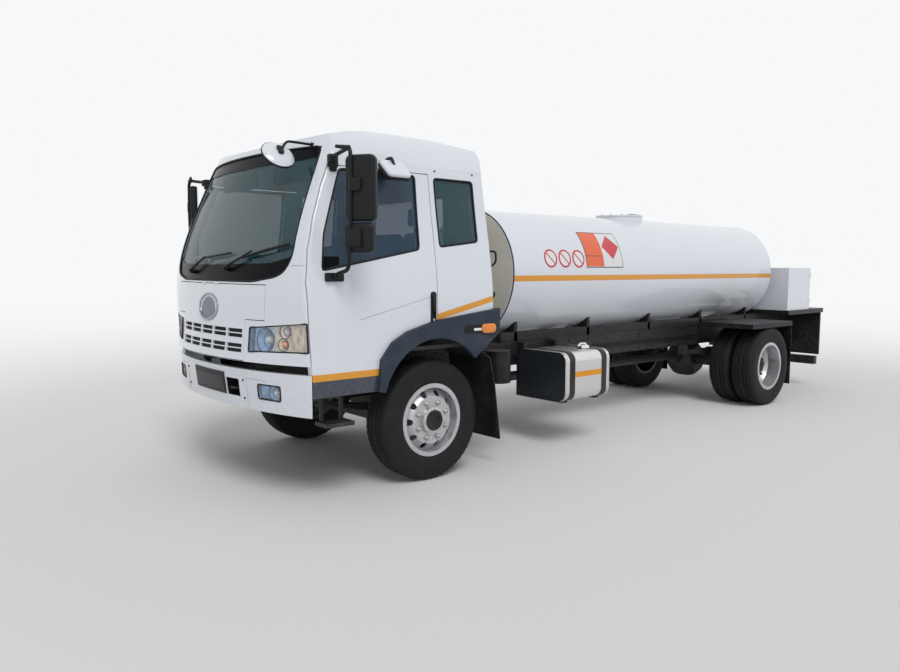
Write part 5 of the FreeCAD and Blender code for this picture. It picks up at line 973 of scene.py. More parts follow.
class TANKER_OT_front_lamps(TankerOperator):
    """Headlamps and fog lamps: reflectors, bulbs, clear covers and black rims"""

    bl_idname = "tanker.front_lamps"
    bl_label = "Front lamps"

    def make(self, scene):
        for label, side in SIDES:
            self.lamp(f"headlamp_{label}", side, **HEADLAMP)
            self.lamp(f"fog_lamp_{label}", side, **FOG_LAMP)

    def lamp(self, name, side, corners, reach, bowls, bulbs, body, node, levels, ribs_from, deep, corner):
        """One lamp: reach is how far the reflector's outer end stays inside the cover's."""
        def place(spots, setback):
            return front_place(side * spots[..., 0], spots[..., 1], setback, *levels)
        back_corners = np.array(corners) - [(0, 0), (reach, 0), (reach, 0), (0, 0)]
        u, v = pane(back_corners, 60, 110)
        bowl = front_place(side * u, v, lamp_bowl(u, v, bowls, deep, ribs_from), *levels)
        outline, inner = (rounded_outline(each, corner, 12) for each in (corners, back_corners))
        wall = np.stack([place(outline, 0.002), place(inner, deep + 0.004)])
        made = piece(f"{name}_reflector", [(bowl, False, False), (wall, False, True)], "reflector", body,
                     40, outward=False)
        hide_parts(node)
        face = place(filled_outline(outline, 10), 0.001)
        piece(f"{name}_cover", [(face, False, True), (face - (0.003, 0, 0), False, True)], "clear", body,
              40)
        piece(f"{name}_rim", [tube(place(outline, 0.001), 0.006, 10, closed=True)], "seal", body)
        # Black rings round each bowl's edge and part way in: painted dark reflection lines on the
        # reflector.
        circle = np.linspace(0, math.tau, 64, endpoint=False)
        circle = np.stack([np.cos(circle), np.sin(circle)], -1)
        rings = [tube(place((cy, cz) + share * radius * circle, deep + extra * (1 - share**2) - 0.001),
                      thick, 8, closed=True)
                 for cy, cz, radius, extra in bowls for share, thick in ((1.0, 0.0035), (0.62, 0.0025))]
        piece(f"{name}_rings", rings, "gloss_black", body)
        arc = np.linspace(0, math.pi / 2, 9)
        for k, (cy, cz, radius, behind, look) in enumerate(bulbs):
            profile = [(0, -0.03), (radius, -0.03), *zip(radius * np.cos(arc), radius * np.sin(arc))]
            piece(f"{name}_bulb{k}", [rings_around(profile, place(np.array([cy, cz]), behind), "X", 24)],
                  look, body)


class TANKER_OT_rear_lamps(TankerOperator):
    """Tail lamps with amber, red and clear parts in a black housing"""

    bl_idname = "tanker.rear_lamps"
    bl_label = "Rear lamps"

    panel_back, middle, height = -7.65, 0.74, 0.66
    lenses = ((0.605, 0.688, "red"), (0.692, 0.778, "white_lens"), (0.782, 0.875, "amber"))

    def make(self, scene):
        back = AXLE + self.panel_back
        for label, side in SIDES:
            housing = block((back - 0.018, side * self.middle, self.height), (0.140, 0.060, 0.018), 0.014,
                            0.006, facing("X"))
            made = piece(f"tail_lamp_housing_{label}", [housing], "plastic", "chassis")
            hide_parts("tail_lamps")
            for k, (low, high, look) in enumerate(self.lenses):
                lens_form = block((back - 0.036, side * (low + high) / 2, self.height),
                                  ((high - low) / 2, 0.052, 0.008), 0.010, 0.006, facing("X"))
                piece(f"tail_lamp_lens{k}_{label}", [lens_form], look, "chassis")


class TANKER_OT_turn_lamps(TankerOperator):
    """Amber turn lamps on black base plates on the flares; the plates' black is painted shade for the
    lamps' recesses
    """

    bl_idname = "tanker.turn_lamps"
    bl_label = "Turn lamps"

    face = 1.236
    # The black base is painted shade: a flat plate on the flare where the lamp's recess is.
    # Name, X, distance out of the flare, Z, half sizes, corner, edge, look and slot.
    forms = (("base", -0.42, 0.001, 1.250, (0.190, 0.035, 0.006), 0.032, 0.004, "plastic", None),
             ("lens", -0.492, 0.014, 1.2505, (0.080, 0.040, 0.014), 0.034, 0.011, "amber", None),
             ("tip", -0.375, 0.008, 1.246, (0.05, 0.012, 0.006), 0.011, 0.004, "chrome", "lamp_glass"))

    def make(self, scene):
        for label, side in SIDES:
            for part, x, out, z, half, corner, edge, look, slot in self.forms:
                form = block((AXLE + x, side * (self.face + out), z), half, corner, edge, facing("Y"))
                name = f"turn_lamp_{label}" if part == "lens" else f"turn_lamp_{part}_{label}"
                piece(name, [form], look, "cab")


# Front of the cab

class TANKER_OT_front_trim(TankerOperator):
    """Grille mesh, plain badge, blank number plate and bumper details"""

    bl_idname = "tanker.front_trim"
    bl_label = "Front trim"

    grille_half, grille_low, grille_high, fins = 0.565, 1.100, 1.312, 566
    badge_z = 1.444
    badge_rim = ((0.84, -0.002), (0.84, 0.008), (0.88, 0.0105), (0.96, 0.0105), (1.0, 0.007),
                 (1.0, -0.002))
    badge_disc = ((0.0, 0.0045), (0.30, 0.0042), (0.60, 0.0030), (0.86, 0.0012), (0.86, -0.002),
                  (0.0, -0.002))
    screws = ((0.525, 0.904), (0.523, 0.764), (-0.525, 0.904), (-0.523, 0.764))
    screw = ((0, 0.006), (0.005, 0.0055), (0.008, 0.003), (0.0085, -0.002), (0, -0.002))
    seam = ((0.562, 0.700), (0.560, 0.925), (0.72, 0.925), (0.80, 0.915))
    tow_across, tow_up, tow_depth = (0.283, 0.461), (0.772, 0.903), 0.090
    tow_eye = ((1.34, 0.33, 0.83), (1.395, 0.335, 0.83), (1.405, 0.372, 0.83), (1.395, 0.409, 0.83),
               (1.34, 0.414, 0.83))

    def make(self, scene):
        y = np.linspace(-self.grille_half, self.grille_half, self.fins)[None, :]
        z = np.linspace(self.grille_low, self.grille_high, 10)[:, None]
        fins = 0.022 + 0.003 * (np.arange(self.fins) // 2 % 2)
        piece("grille_mesh", slab(front_place(y, z, fins), (-0.003, 0, 0)), "plastic", "front_flap", 30)
        for part, profile, ring in (("rim", self.badge_rim, True), ("disc", self.badge_disc, False)):
            grid = self.oval(profile, scene.tanker_sizes)
            piece(f"front_badge_{part}", [(grid, ring, True)], f"badge_{part}", "front_flap")
        self.plate("plate_holder", (-0.300, 0.262, 0.770, 0.943), -0.001, 0.006, "plastic")
        self.plate("number_plate_blank", (-0.279, 0.241, 0.795, 0.905), -0.0072, 0.0015, "plate")

        spots = eased_path(self.seam, 60, 0.06)
        seams = [tube(front_place(side * spots[:, 0], spots[:, 1], 0.0, *BUMPER_FRONT), 0.0016, 8)
                 for side in (1, -1)]
        piece("bumper_seams", seams, "crease", "chassis")
        screws = [rings_around(self.screw, front_place(*spot, -0.002, *BUMPER_FRONT), "X", 18)
                  for spot in self.screws]
        piece("bumper_screws", screws, "plastic", "chassis")
        piece("tow_recess", self.pocket(), "plastic", "chassis", outward=False)
        hook = eased_path(np.array(self.tow_eye) + (AXLE, 0, 0), 30)
        piece("tow_eye", [tube(hook, 0.010, 12)], "black", "chassis")

    def oval(self, profile, sizes):
        """Ovals on the bowed front: shares of the badge's half sizes, each at a height over
        the front."""
        angle = np.linspace(0, math.tau, 96, endpoint=False)
        share, height = np.array(profile).T[:, :, None]
        return front_place(sizes.badge_wide * share * np.cos(angle),
                           self.badge_z + sizes.badge_tall * share * np.sin(angle), -height)

    def plate(self, name, edges, setback, thick, look):
        """A plate that follows the bumper's bow."""
        u, v = pane(rect(*edges), 4, 60)
        piece(name, slab(front_place(u, v, setback, *BUMPER_FRONT), (thick, 0, 0)), look, "chassis")

    def pocket(self):
        """The tow recess's lining: four walls that run straight back from the bumper's face to
        a plain end."""
        outline = rounded_outline(rect(*self.tow_across, *self.tow_up), 0.012)
        mouth = front_place(outline[:, 0], outline[:, 1], 0.003, *BUMPER_FRONT)
        end = mouth.copy()
        end[:, 0] = mouth[:, 0].min() - self.tow_depth
        return [(np.stack([mouth, end, np.repeat(end.mean(0)[None], len(end), 0)]), False, True)]


# The windscreen's lower corner and its two upper points, as (y, z).
SCREEN_CORNER = ((0.640, 1.652), (0.900, 1.690), (0.975, 1.725), (1.018, 1.790))
SCREEN_SIDE = ((1.035, 1.860), (0.952, 2.652))


def seal_line(place, outline, radius):
    """Rubber carried round an outline that a place function puts on the cab."""
    nodes = np.concatenate([outline, outline[:1]])
    run = np.concatenate([[0], np.cumsum(np.linalg.norm(np.diff(nodes, axis=0), axis=1))])
    at = np.linspace(0, run[-1], 180, endpoint=False)
    spots = [np.interp(at, run, nodes[:, k]) for k in (0, 1)]
    return tube(place(*spots), radius, 10, closed=True)


class TANKER_OT_windscreen(TankerOperator):
    """The windscreen's seal, its dark header and base, and two wipers"""

    bl_idname = "tanker.windscreen"
    bl_label = "Windscreen trim"

    base_reach, base_gap, base_set = 1.028, 0.002, 0.011
    base_top = ((0.0, 1.778), (0.8, 1.790), (1.0, 1.832), (1.028, 1.860))
    header_reach, header_set, header_top = 0.955, 0.010, 2.648
    header_low = ((0.0, 2.545), (0.7, 2.552), (0.955, 2.575))
    # A wiper's foot and elbow, and its blade's two ends.
    wipers = (((-0.440, 1.725), (-0.150, 1.842), (-0.185, 1.835), (0.275, 1.868)),
              ((0.245, 1.750), (0.605, 1.880), (0.470, 1.832), (0.985, 1.925)))
    post = ((0, -0.028), (0.020, -0.028), (0.022, -0.006), (0.016, 0.006), (0, 0.008))

    def make(self, scene):
        half = SCREEN_CORNER + SCREEN_SIDE
        outline = rounded_outline(half + tuple((-y, z) for y, z in reversed(half)), 0.05, 8)
        seal = seal_line(lambda y, z: front_place(y, z, 0.004), outline, scene.tanker_sizes.seal_radius)
        piece("windscreen_seal", [seal], "seal", "cab")
        low = [(y, z + self.base_gap) for y, z in SCREEN_CORNER + ((self.base_reach, 1.840),)]
        self.band("windscreen_base", self.base_reach, low, self.base_top, self.base_set)
        self.band("windscreen_header", self.header_reach, self.header_low, [(0.0, self.header_top)],
                  self.header_set)
        for k, spots in enumerate(self.wipers):
            piece(f"wiper_{k}", self.wiper(*spots), "plastic", "cab")

    def band(self, name, reach, low, high, setback):
        """A dark band behind the glass, between two edges given from the middle outward."""
        y = np.linspace(-reach, reach, 121)[None, :]
        low, high = (np.interp(np.abs(y), *zip(*edge)) for edge in (low, high))
        z = low + (high - low) * np.linspace(0, 1, 12)[:, None]
        piece(name, slab(front_place(y, z, setback), (-0.002, 0, 0)), "gloss_black", "cab")

    def wiper(self, foot, elbow, tail, tip):
        """A wiper: a post at its foot, an arm that thins, and a blade hung on a bowed carrier."""
        arm = eased_path([front_place(*foot, -0.012), front_place(*foot, -0.035),
                          front_place(*elbow, -0.030)], 30, 0.2)
        at = np.linspace(0, 1, 40)
        along = front_place(*(a + (b - a) * at for a, b in zip(tail, tip)))
        blade = along + (0.004, 0, 0)
        carrier = along + (0.020, 0, 0) + np.outer(np.sin(at * math.pi), (0.006, 0, 0))
        links = [tube(np.linspace(blade[k], carrier[k], 4), 0.008, 8) for k in (5, 19, 33)]
        return [rings_around(self.post, front_place(*foot, -0.020), "X", 24),
                tube(arm, np.linspace(0.017, 0.009, 30), 12, 0.6), tube(blade, 0.007, 8, 1.3),
                tube(carrier, 0.008, 8)] + links


DOOR_WINDOW = np.array([(1.085, 1.735), (1.048, 1.990), (0.866, 2.482), (0.165, 2.482), (0.185, 1.900)])
QUARTER_WINDOW = np.array([(-0.028, 1.925), (-0.028, 2.475), (-0.445, 2.475), (-0.445, 1.975)])


class TANKER_OT_side_trim(TankerOperator):
    """Window seals, the dark corner of the door glass, handles and joint lines"""

    bl_idname = "tanker.side_trim"
    bl_label = "Side trim"

    seal_in, corner_in, plug_z, plug_places = 0.004, 0.010, 2.535, (-0.045, -0.455)
    glass_corner = ((1.078, 1.742), (0.930, 1.780), (0.930, 1.838), (1.072, 1.838))
    plug = ((0, 0.004), (0.006, 0.0035), (0.009, 0.001), (0.009, -0.003), (0, -0.003))
    lock = ((0, 0.006), (0.011, 0.005), (0.013, 0.0), (0, 0))
    # A grip's points as X, Z and distance out of the door.
    grip = ((0.088, 1.54, 0.004), (0.086, 1.53, 0.022), (0.082, 1.44, 0.026), (0.066, 1.39, 0.018),
            (0.060, 1.375, 0.004))
    seam_y, seam_z = (1.037, 1.10, 1.150, 1.168), 1.772

    def make(self, scene):
        radius = scene.tanker_sizes.seal_radius
        for label, side in SIDES:
            door = f"door_{label}"

            def on_side(x, z, out):
                return side_place(x, z, out, side)

            def turned(profile, spot, count):
                return rings_around([(r, out * side) for r, out in profile], spot, "Y", count)
            def seal(window, corner, thick):
                return [seal_line(lambda x, z: on_side(x, z, -self.seal_in),
                                  rounded_outline(window, corner, 6), thick)]
            piece(f"door_seal_{label}", seal(DOOR_WINDOW, 0.035, radius), "seal", door)
            x, z = pane(self.glass_corner, 6, 16)
            corner = slab(on_side(x, z, -self.corner_in), (0, -0.003 * side, 0))
            piece(f"door_glass_corner_{label}", corner, "gloss_black", door)
            piece(f"quarter_seal_{label}", seal(QUARTER_WINDOW, 0.03, radius * 1.2), "seal", "cab")
            plugs = [turned(self.plug, on_side(at, self.plug_z, 0.0), 18) for at in self.plug_places]
            piece(f"roof_plugs_{label}", plugs, "plastic", "cab")

            recess = block(on_side(0.072, 1.442, 0.001), (0.030, 0.125, 0.004), 0.022, 0.003, facing("Y"))
            grip = eased_path([on_side(*spot) for spot in self.grip], 40, 0.18)
            piece(f"door_handle_{label}", [recess, tube(grip, 0.012, 14, 0.7)], "plastic", door)
            lock = turned(self.lock, on_side(0.070, 1.342, 0.003), 24)
            piece(f"door_lock_{label}", [lock], "steel", door)
            # A grey line along the door's crease: painted shade.
            at = np.linspace(0, 1, 60)
            crease = on_side(0.775 - 0.667 * at, 1.372 + 0.154 * at, 0.0004)
            piece(f"door_crease_{label}", [tube(crease, 0.0022, 8)], "crease", door)
            seam = eased_path(front_place(side * np.array(self.seam_y), self.seam_z, -0.0002), 30)
            piece(f"corner_seam_{label}", [tube(seam, 0.0016, 8)], "crease", "cab")


# Mirrors

def mirror_head(name, body, centre, half, lean):
    """A mirror head turned towards the driver by an angle: a soft shell that domes forward, and
    the glass that faces back."""
    turn = np.array(Matrix.Rotation(lean, 3, "Z"))
    grid, a, b = block((0, 0, 0), half, 0.045, 0.020, facing("X"), 8)
    share = grid / (half[2], half[0], half[1])
    dome = 0.010 * np.clip(1 - share[..., 1] ** 2, 0, 1) * np.clip(1 - share[..., 2] ** 2, 0, 1)
    grid[..., 0] += np.where(share[..., 0] > 0, dome, 0) - (share[..., 0] > 0.2) * 0.006
    made = piece(name, [(grid @ turn.T + np.asarray(centre), a, b)], "plastic", body, 50)
    face = np.asarray(centre) - turn @ (half[2] + 0.0005, 0, 0)
    plate = block(face, (half[0] - 0.016, half[1] - 0.016, 0.002), 0.035, 0.001, turn @ facing("X"), 6)
    piece(name + "_glass", [plate], "mirror", body)
    return made


class TANKER_OT_mirrors(TankerOperator):
    """Door mirrors on bent tubes, the kerb mirror and the dish ahead of the screen"""

    bl_idname = "tanker.mirrors"
    bl_label = "Mirrors"

    tube_x = 0.994
    kerb_x, kerb_lean = 0.455, 42
    dish_spot, dish_radius, dish_lean = (1.226, 0.85, 2.586), 0.126, 50
    # A head's name, X, Y, Z and half sizes; each side turns and sets back its heads its own way.
    heads = (("main", 0.9225, 1.450, 2.309, (0.112, 0.228, 0.036)),
             ("wide", 0.9290, 1.440, 1.966, (0.107, 0.106, 0.036)))
    head_turn = {"left": (33, 0.0), "right": (-25, 0.009)}
    clamp_turn, clamps = 30, ((2.330, 0.045), (1.965, 0.062))
    # The dish's profiles: share of the radius and height, with each one's look.
    dish_forms = (("back", "white", ((0, 0.012), (0.35, 0.010), (0.7, 0.001), (0.92, -0.012),
                                     (0.98, -0.020))),
                  ("rim", "seal", ((0.98, -0.018), (1.01, -0.021), (1.01, -0.032), (0.93, -0.036),
                                   (0.91, -0.027), (0.91, -0.018))),
                  ("glass", "mirror", ((0, -0.025), (0.5, -0.026), (0.92, -0.030))))
    # The kerb mirror's layers: half sizes, lift, edge and look.
    kerb_forms = (("back", (0.108, 0.094, 0.016), 0.012, 0.014, "white"),
                  ("frame", (0.112, 0.098, 0.014), -0.014, 0.012, "plastic"),
                  ("glass", (0.094, 0.080, 0.002), -0.0285, 0.001, "mirror"))

    def make(self, scene):
        for label, side in SIDES:
            body = f"door_{label}"
            made = [piece(f"mirror_arm_{label}", self.arm(side), "plastic", body)]
            lean, back = self.head_turn[label]
            for name, x, y, z, half in self.heads:
                made.append(mirror_head(f"{name}_mirror_{label}", body, (AXLE + x + back, side * y, z),
                                        half, math.radians(lean)))
            for each in made:
                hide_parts(f"mirrors_{label}")
        self.kerb()
        self.dish()

    def arm(self, side):
        """The door mirror's bent tube with its feet, its upper bracket, a sleeve that points at
        the front mirror's rod, and a clamp behind each head."""
        x = AXLE + self.tube_x
        foot, head = (level_at(CAB_LEVELS, CAB_BENDS, z)[2] * side for z in (1.65, 2.47))
        path = eased_path([(x, foot + side * 0.03, 1.700), (x, foot + side * 0.06, 1.715),
                           (x, side * 1.375, 1.740), (x, side * 1.404, 1.80),
                           (x, side * 1.420, 2.30), (x - 0.004, side * 1.420, 2.555),
                           (x - 0.008, side * 1.395, 2.584), (x - 0.036, head + side * 0.060, 2.550)],
                          120, 0.04)
        # X from the tube, distance out of the skin, Z, half sizes, corner and edge.
        pads = [block((x + ahead, skin + side * out, z), half, corner, edge, facing("Y"))
                for ahead, skin, out, z, half, corner, edge in (
                    (0, foot, 0.012, 1.690, (0.075, 0.032, 0.014), 0.010, 0.006),
                    (0, foot, 0.030, 1.700, (0.024, 0.022, 0.020), 0.010, 0.006),
                    (-0.062, head, 0.022, 2.528, (0.042, 0.046, 0.012), 0.012, 0.006),
                    (-0.076, head, 0.006, 2.478, (0.026, 0.024, 0.012), 0.008, 0.005),
                    (-0.042, head, 0.047, 2.543, (0.030, 0.030, 0.026), 0.014, 0.010))]
        sleeve = eased_path([(x - 0.006, side * 1.402, 2.580), (x + 0.012, side * 1.340, 2.592),
                             (x + 0.030, side * 1.290, 2.600)], 24, 0.2)
        turn = np.array(Matrix.Rotation(side * math.radians(self.clamp_turn), 3, "Z")) @ facing("X")
        clamps = [block((x - 0.020, side * 1.455, z), (0.042, high, 0.018), 0.012, 0.006, turn)
                  for z, high in self.clamps]
        return [tube(path, 0.0145, 16), *pads, tube(sleeve, np.linspace(0.019, 0.012, 24), 14), *clamps]

    def dish(self):
        """The dish ahead of the screen: turned profiles leaned over, a bent rod and its clamps."""
        across = leaned(self.dish_lean)
        spot = np.array(self.dish_spot) + (AXLE, 0, 0)
        made = []
        for name, look, profile in self.dish_forms:
            profile = [(self.dish_radius * share, height) for share, height in profile]
            grid = rings_around(profile, (0, 0, 0), "Z", 56)[0] @ across + spot
            made.append(piece(f"front_mirror_{name}", [(grid, True, False)], look, "cab"))
        path = eased_path([(AXLE + 0.935, 0.852, 2.668), (AXLE + 1.150, 0.850, 2.673),
                           (AXLE + 1.176, 0.850, 2.660), (AXLE + 1.216, 0.856, 2.598)], 60, 0.09)
        root = eased_path([(AXLE + 0.905, 0.853, 2.665), (AXLE + 0.965, 0.852, 2.670)], 12)
        knob = block(spot + (-0.002, 0.014, 0.020), (0.020, 0.036, 0.010), 0.008, 0.005, across.T)
        made.append(piece("front_mirror_arm", [tube(path, 0.0095, 12), tube(root, 0.016, 12), knob],
                          "plastic", "cab"))
        for each in made:
            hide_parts("front_mirror")

    def kerb(self):
        """The kerb mirror: its arm over the door, and a rounded shell that narrows from its
        white back to a black underside."""
        x = AXLE + self.kerb_x
        arm = [block((x, 1.078, 2.530), (0.056, 0.026, 0.012), 0.01, 0.004, facing("Y")),
               tube(eased_path([(x, 1.086, 2.53), (x, 1.100, 2.582), (x, 1.165, 2.585),
                                (x, 1.196, 2.530)], 40, 0.2), 0.013, 12),
               block((x + 0.03, 1.122, 2.470), (0.060, 0.045, 0.016), 0.02, 0.008, facing("Y"))]
        made = [piece("kerb_mirror_arm", arm, "plastic", "door_left")]
        turn = leaned(self.kerb_lean).T
        for name, half, lift, edge, look in self.kerb_forms:
            shell = block(np.array([x, 1.205, 2.490]) + turn @ (0, 0, lift), half, 0.040, edge, turn, 8)
            made.append(piece(f"kerb_mirror_{name}", [shell], look, "door_left", 50))
        for each in made[:2]:
            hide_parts("mirrors_left")


# Barrel

PLATE_FRONT, PLATE_LENGTH = -2.497, 0.632      # X of the hazard plate's front edge, and its run
PLATE_LOW, PLATE_RISE = 5.2, 37.2              # degrees up from level, and the plate's height
SIGN_LIFT, SIGN_PLACES = 13.6, (-1.937, -2.1545, -2.372)
PRINT_BACK = 0.0004


class TANKER_OT_barrel_trim(TankerOperator):
    """Edge ring, weld seams, lid bolts, blank hazard plate and plain round signs"""

    bl_idname = "tanker.barrel_trim"
    bl_label = "Barrel trim"

    lid_x, lid_over = -3.9, 0.0403              # the lid's X, and its top over the barrel
    lid_bolt = ((0, 0.012), (0.008, 0.012), (0.011, 0.010), (0.011, 0.0005), (0, 0.0005))

    def make(self, scene):
        circle = np.linspace(0, math.tau, 160, endpoint=False)

        def hoop(x, radius, thick):
            path = np.stack([np.full(160, AXLE + x), radius * np.cos(circle),
                             BARREL_Z + radius * np.sin(circle)], -1)
            return tube(path, thick, 8, closed=True)
        piece("barrel_edge", [hoop(BARREL_FRONT + 0.001, BARREL_RADIUS - 0.001, 0.006)], "seal",
              "chassis")
        piece("weld_seams", [hoop(x, BARREL_RADIUS - 0.0016, 0.0032) for x in (-2.9, -4.55, -6.52)],
              "barrel", "chassis")
        for label, side in SIDES:
            x = PLATE_FRONT - PLATE_LENGTH * np.linspace(0, 1, 40)[None, :]
            lift = PLATE_LOW + PLATE_RISE * np.linspace(0, 1, 24)[:, None]
            face, back = (barrel_place(x, lift, out, side) for out in (0.0025, 0.0005))
            made = piece(f"hazard_plate_{label}", slab(face, back - face), "placard", "chassis")
            self.unwrap(made)
            white, red = [], []
            for at in SIGN_PLACES:
                red += self.disc_patch(at, side, 0.078, 0.096, 0.0028) + self.bar_patch(at, side)
                white += self.disc_patch(at, side, 0.0, 0.086, 0.0018)
            piece(f"sign_discs_{label}", white, "white_print", "chassis")
            piece(f"sign_rings_{label}", red, "red_print", "chassis")

        x, top = AXLE + self.lid_x, BARREL_Z + BARREL_RADIUS + self.lid_over
        fittings = [rings_around(self.lid_bolt, (x + 0.262 * math.cos(at), 0.262 * math.sin(at), top),
                                 "Z", 6) for at in math.tau * (np.arange(12) + 0.5) / 12]
        grip = eased_path([(x - 0.09, 0.20, top), (x - 0.09, 0.20, top + 0.014),
                           (x + 0.09, 0.20, top + 0.014), (x + 0.09, 0.20, top)], 40, 0.05)
        piece("lid_fittings", fittings + [tube(grip, 0.006, 10)], "steel", "manlid")

    def disc_patch(self, x, side, inner, outer, out):
        """A ring laid on the barrel: polar steps turned into X and degrees of lift."""
        angle = np.linspace(0, math.tau, 48, endpoint=False)[None, :]
        radius = np.linspace(outer, inner, 5)[:, None]
        lift = SIGN_LIFT + np.degrees(radius * np.sin(angle) / BARREL_RADIUS)
        face, back = (barrel_place(x - radius * np.cos(angle), lift, each, side)
                      for each in (out, PRINT_BACK))
        walls = [(np.stack([face[k], back[k]]), False, True) for k in ((0, -1) if inner > 0 else (0,))]
        return [(face, False, True), (back, False, True)] + walls

    def bar_patch(self, x, side):
        """The slash across a round sign, from its upper front to its lower rear."""
        along = np.linspace(-0.08, 0.08, 14)[:, None] * math.sqrt(0.5)
        across = np.array([-0.0065, 0.0065])[None, :] * math.sqrt(0.5)
        lift = SIGN_LIFT + np.degrees((-along - across) / BARREL_RADIUS)
        face, back = (barrel_place(x - (along - across), lift, out, side) for out in (0.0028, PRINT_BACK))
        return slab(face, back - face)

    def unwrap(self, made):
        """Sets u along the truck and v up the barrel from each corner's place."""
        mesh = made.data
        place = np.empty(len(mesh.vertices) * 3)
        mesh.vertices.foreach_get("co", place)
        place = place.reshape(-1, 3)
        corner = np.empty(len(mesh.loops), int)
        mesh.loops.foreach_get("vertex_index", corner)
        lift = np.degrees(np.arctan2(place[:, 2] - BARREL_Z, np.abs(place[:, 1])))
        u = (AXLE + PLATE_FRONT - place[:, 0]) / PLATE_LENGTH
        v = (lift - PLATE_LOW) / PLATE_RISE
        layer = mesh.uv_layers.new(name="plate")
        layer.data.foreach_set("uv", np.stack([u[corner], v[corner]], -1).ravel())


# Seats

CROWN = 0.010
VOXEL, PRESSURE, CLOTH_STEPS = 0.012, 4.0, 20


def cushion_form(low, high, crown):
    """A cushion: a rounded block with its top and front swollen by a crown, as a closed grid."""
    low, high = np.asarray(low), np.asarray(high)
    half = (high - low) / 2
    grid, a, b = block((0, 0, 0), half, min(half[0], half[1]) * 0.35, half[2] * 0.55, facing("Z"), 8)
    share = grid / half
    swell = crown * np.clip(1 - share[..., 0] ** 2, 0, 1) * np.clip(1 - share[..., 1] ** 2, 0, 1)
    grid[..., 2] += np.where(share[..., 2] > 0, swell, 0)
    return grid + (low + high) / 2, a, b


class TANKER_OT_seats(TankerOperator):
    """Padded seat and back cushions, head rests and their bases"""

    bl_idname = "tanker.seats"
    bl_label = "Seats"

    rear, front, inset, base_top = -0.330, 0.210, 0.012, 1.39
    # A seat's two sides, its base's two sides and bottom, and its head rest's middle.
    places = (("driver", -0.84, -0.33, -0.78, -0.4003, 1.1303, -0.585),
              ("mate", 0.36, 0.85, 0.4003, 0.79, 1.1303, 0.59),
              ("middle", -0.11, 0.35, -0.05, 0.34, 1.2603, None))

    def make(self, scene):
        rear, front = AXLE + self.rear, AXLE + self.front
        bases, pads = [], []
        for label, y0, y1, base0, base1, bottom, rest in self.places:
            y0, y1 = y0 + self.inset, y1 - self.inset
            bases.append(block(((rear + front) / 2, (base0 + base1) / 2, (bottom + self.base_top) / 2),
                               ((front - rear) / 2 - 0.06, (base1 - base0) / 2,
                                (self.base_top - bottom) / 2), 0.03, 0.01))
            pads += [
                (f"{label}_cushion", (rear + 0.11, y0, 1.405), (front - self.inset, y1, 1.495), False),
                (f"{label}_back", (rear + 0.018, y0, 1.43), (rear + 0.108, y1, 2.085), True)]
            if rest is not None:
                pads.append((f"{label}_rest", (rear + 0.04, rest - 0.12, 2.12),
                             (rear + 0.115, rest + 0.12, 2.275), True))
                posts = [np.linspace((rear + 0.075, rest + dy, 2.04), (rear + 0.075, rest + dy, 2.16), 4)
                         for dy in (-0.05, 0.05)]
                bases += [tube(post, 0.006, 10) for post in posts]
        base = piece("seat_bases", bases, "plastic", "cab")
        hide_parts("seats")
        for name, low, high, upright in pads:
            self.pad(scene, name, np.array(low), np.array(high), upright)

    def pad(self, scene, name, low, high, upright):
        """One cushion; an upright one is laid flat, formed and stood up again."""
        if upright:
            half = (high - low)[::-1] / 2
            grid, a, b = cushion_form(-half, half, CROWN)
            grid = np.stack([grid[..., 2], grid[..., 1], -grid[..., 0]], -1) + (low + high) / 2
        else:
            grid, a, b = cushion_form(low, high, CROWN)
        made = piece(name, [(grid, a, b)], "cloth", "cab", 60)
        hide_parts("seats")
        inflate(made, scene.tanker_sizes.pad_swell)
        finer = made.modifiers.new("finer", "SUBSURF")
        finer.levels = finer.render_levels = 1
        made.data.shade_smooth()


def inflate(made, cap):
    """Remeshes a cushion and lets pressure swell it for twenty frames, then caps the move."""
    context = bpy.context
    for other in context.selected_objects:
        other.select_set(False)
    context.view_layer.objects.active = made
    made.select_set(True)
    remesh = made.modifiers.new("voxels", "REMESH")
    remesh.mode, remesh.voxel_size = "VOXEL", VOXEL
    bpy.ops.object.modifier_apply(modifier=remesh.name)
    before = np.empty(len(made.data.vertices) * 3)
    made.data.vertices.foreach_get("co", before)
    cloth = made.modifiers.new("air", "CLOTH")
    cloth.settings.use_pressure = True
    cloth.settings.uniform_pressure_force = PRESSURE
    cloth.settings.effector_weights.gravity = 0.0
    cloth.settings.quality = 5
    cloth.collision_settings.use_collision = False
    for step in range(1, CLOTH_STEPS + 1):
        context.scene.frame_set(step)
    bpy.ops.object.modifier_apply(modifier=cloth.name)
    context.scene.frame_set(1)
    after = np.empty_like(before)
    made.data.vertices.foreach_get("co", after)
    move = (after - before).reshape(-1, 3)
    far = np.linalg.norm(move, axis=1)[:, None]
    move = move * np.minimum(1, cap / np.maximum(far, 1e-9))
    made.data.vertices.foreach_set("co", (before.reshape(-1, 3) + move).ravel())
    made.data.update()


# Inside and chassis details

class TANKER_OT_cab_inside(TankerOperator):
    """Dash top with its instrument hood, and sun visors"""

    bl_idname = "tanker.cab_inside"
    bl_label = "Cab inside"

    dash_x, dash_half, dash_z = 0.955, 0.12, 1.664
    hood_y, hood_half, hood_rise = -0.585, 0.24, 0.055

    def make(self, scene):
        y = np.linspace(-1.0, 1.0, 60)[None, :]
        t = np.linspace(0, math.pi, 14)[:, None]
        hump = self.hood_rise * np.exp(-(((y - self.hood_y) / self.hood_half) ** 4)) + 0.010
        x, y, z = np.broadcast_arrays(AXLE + self.dash_x - self.dash_half * np.cos(t), y,
                                      self.dash_z + hump * np.sin(t))
        piece("dash_top", slab(np.stack([x, y, z], -1), (0, 0, -0.004)), "trim", "cab")
        visors = [block((AXLE + 0.90, at, 2.50), (0.34, 0.075, 0.010), 0.03, 0.008, facing("X"), 6)
                  for at in (-0.48, 0.48)]
        piece("sun_visors", visors, "trim", "cab")


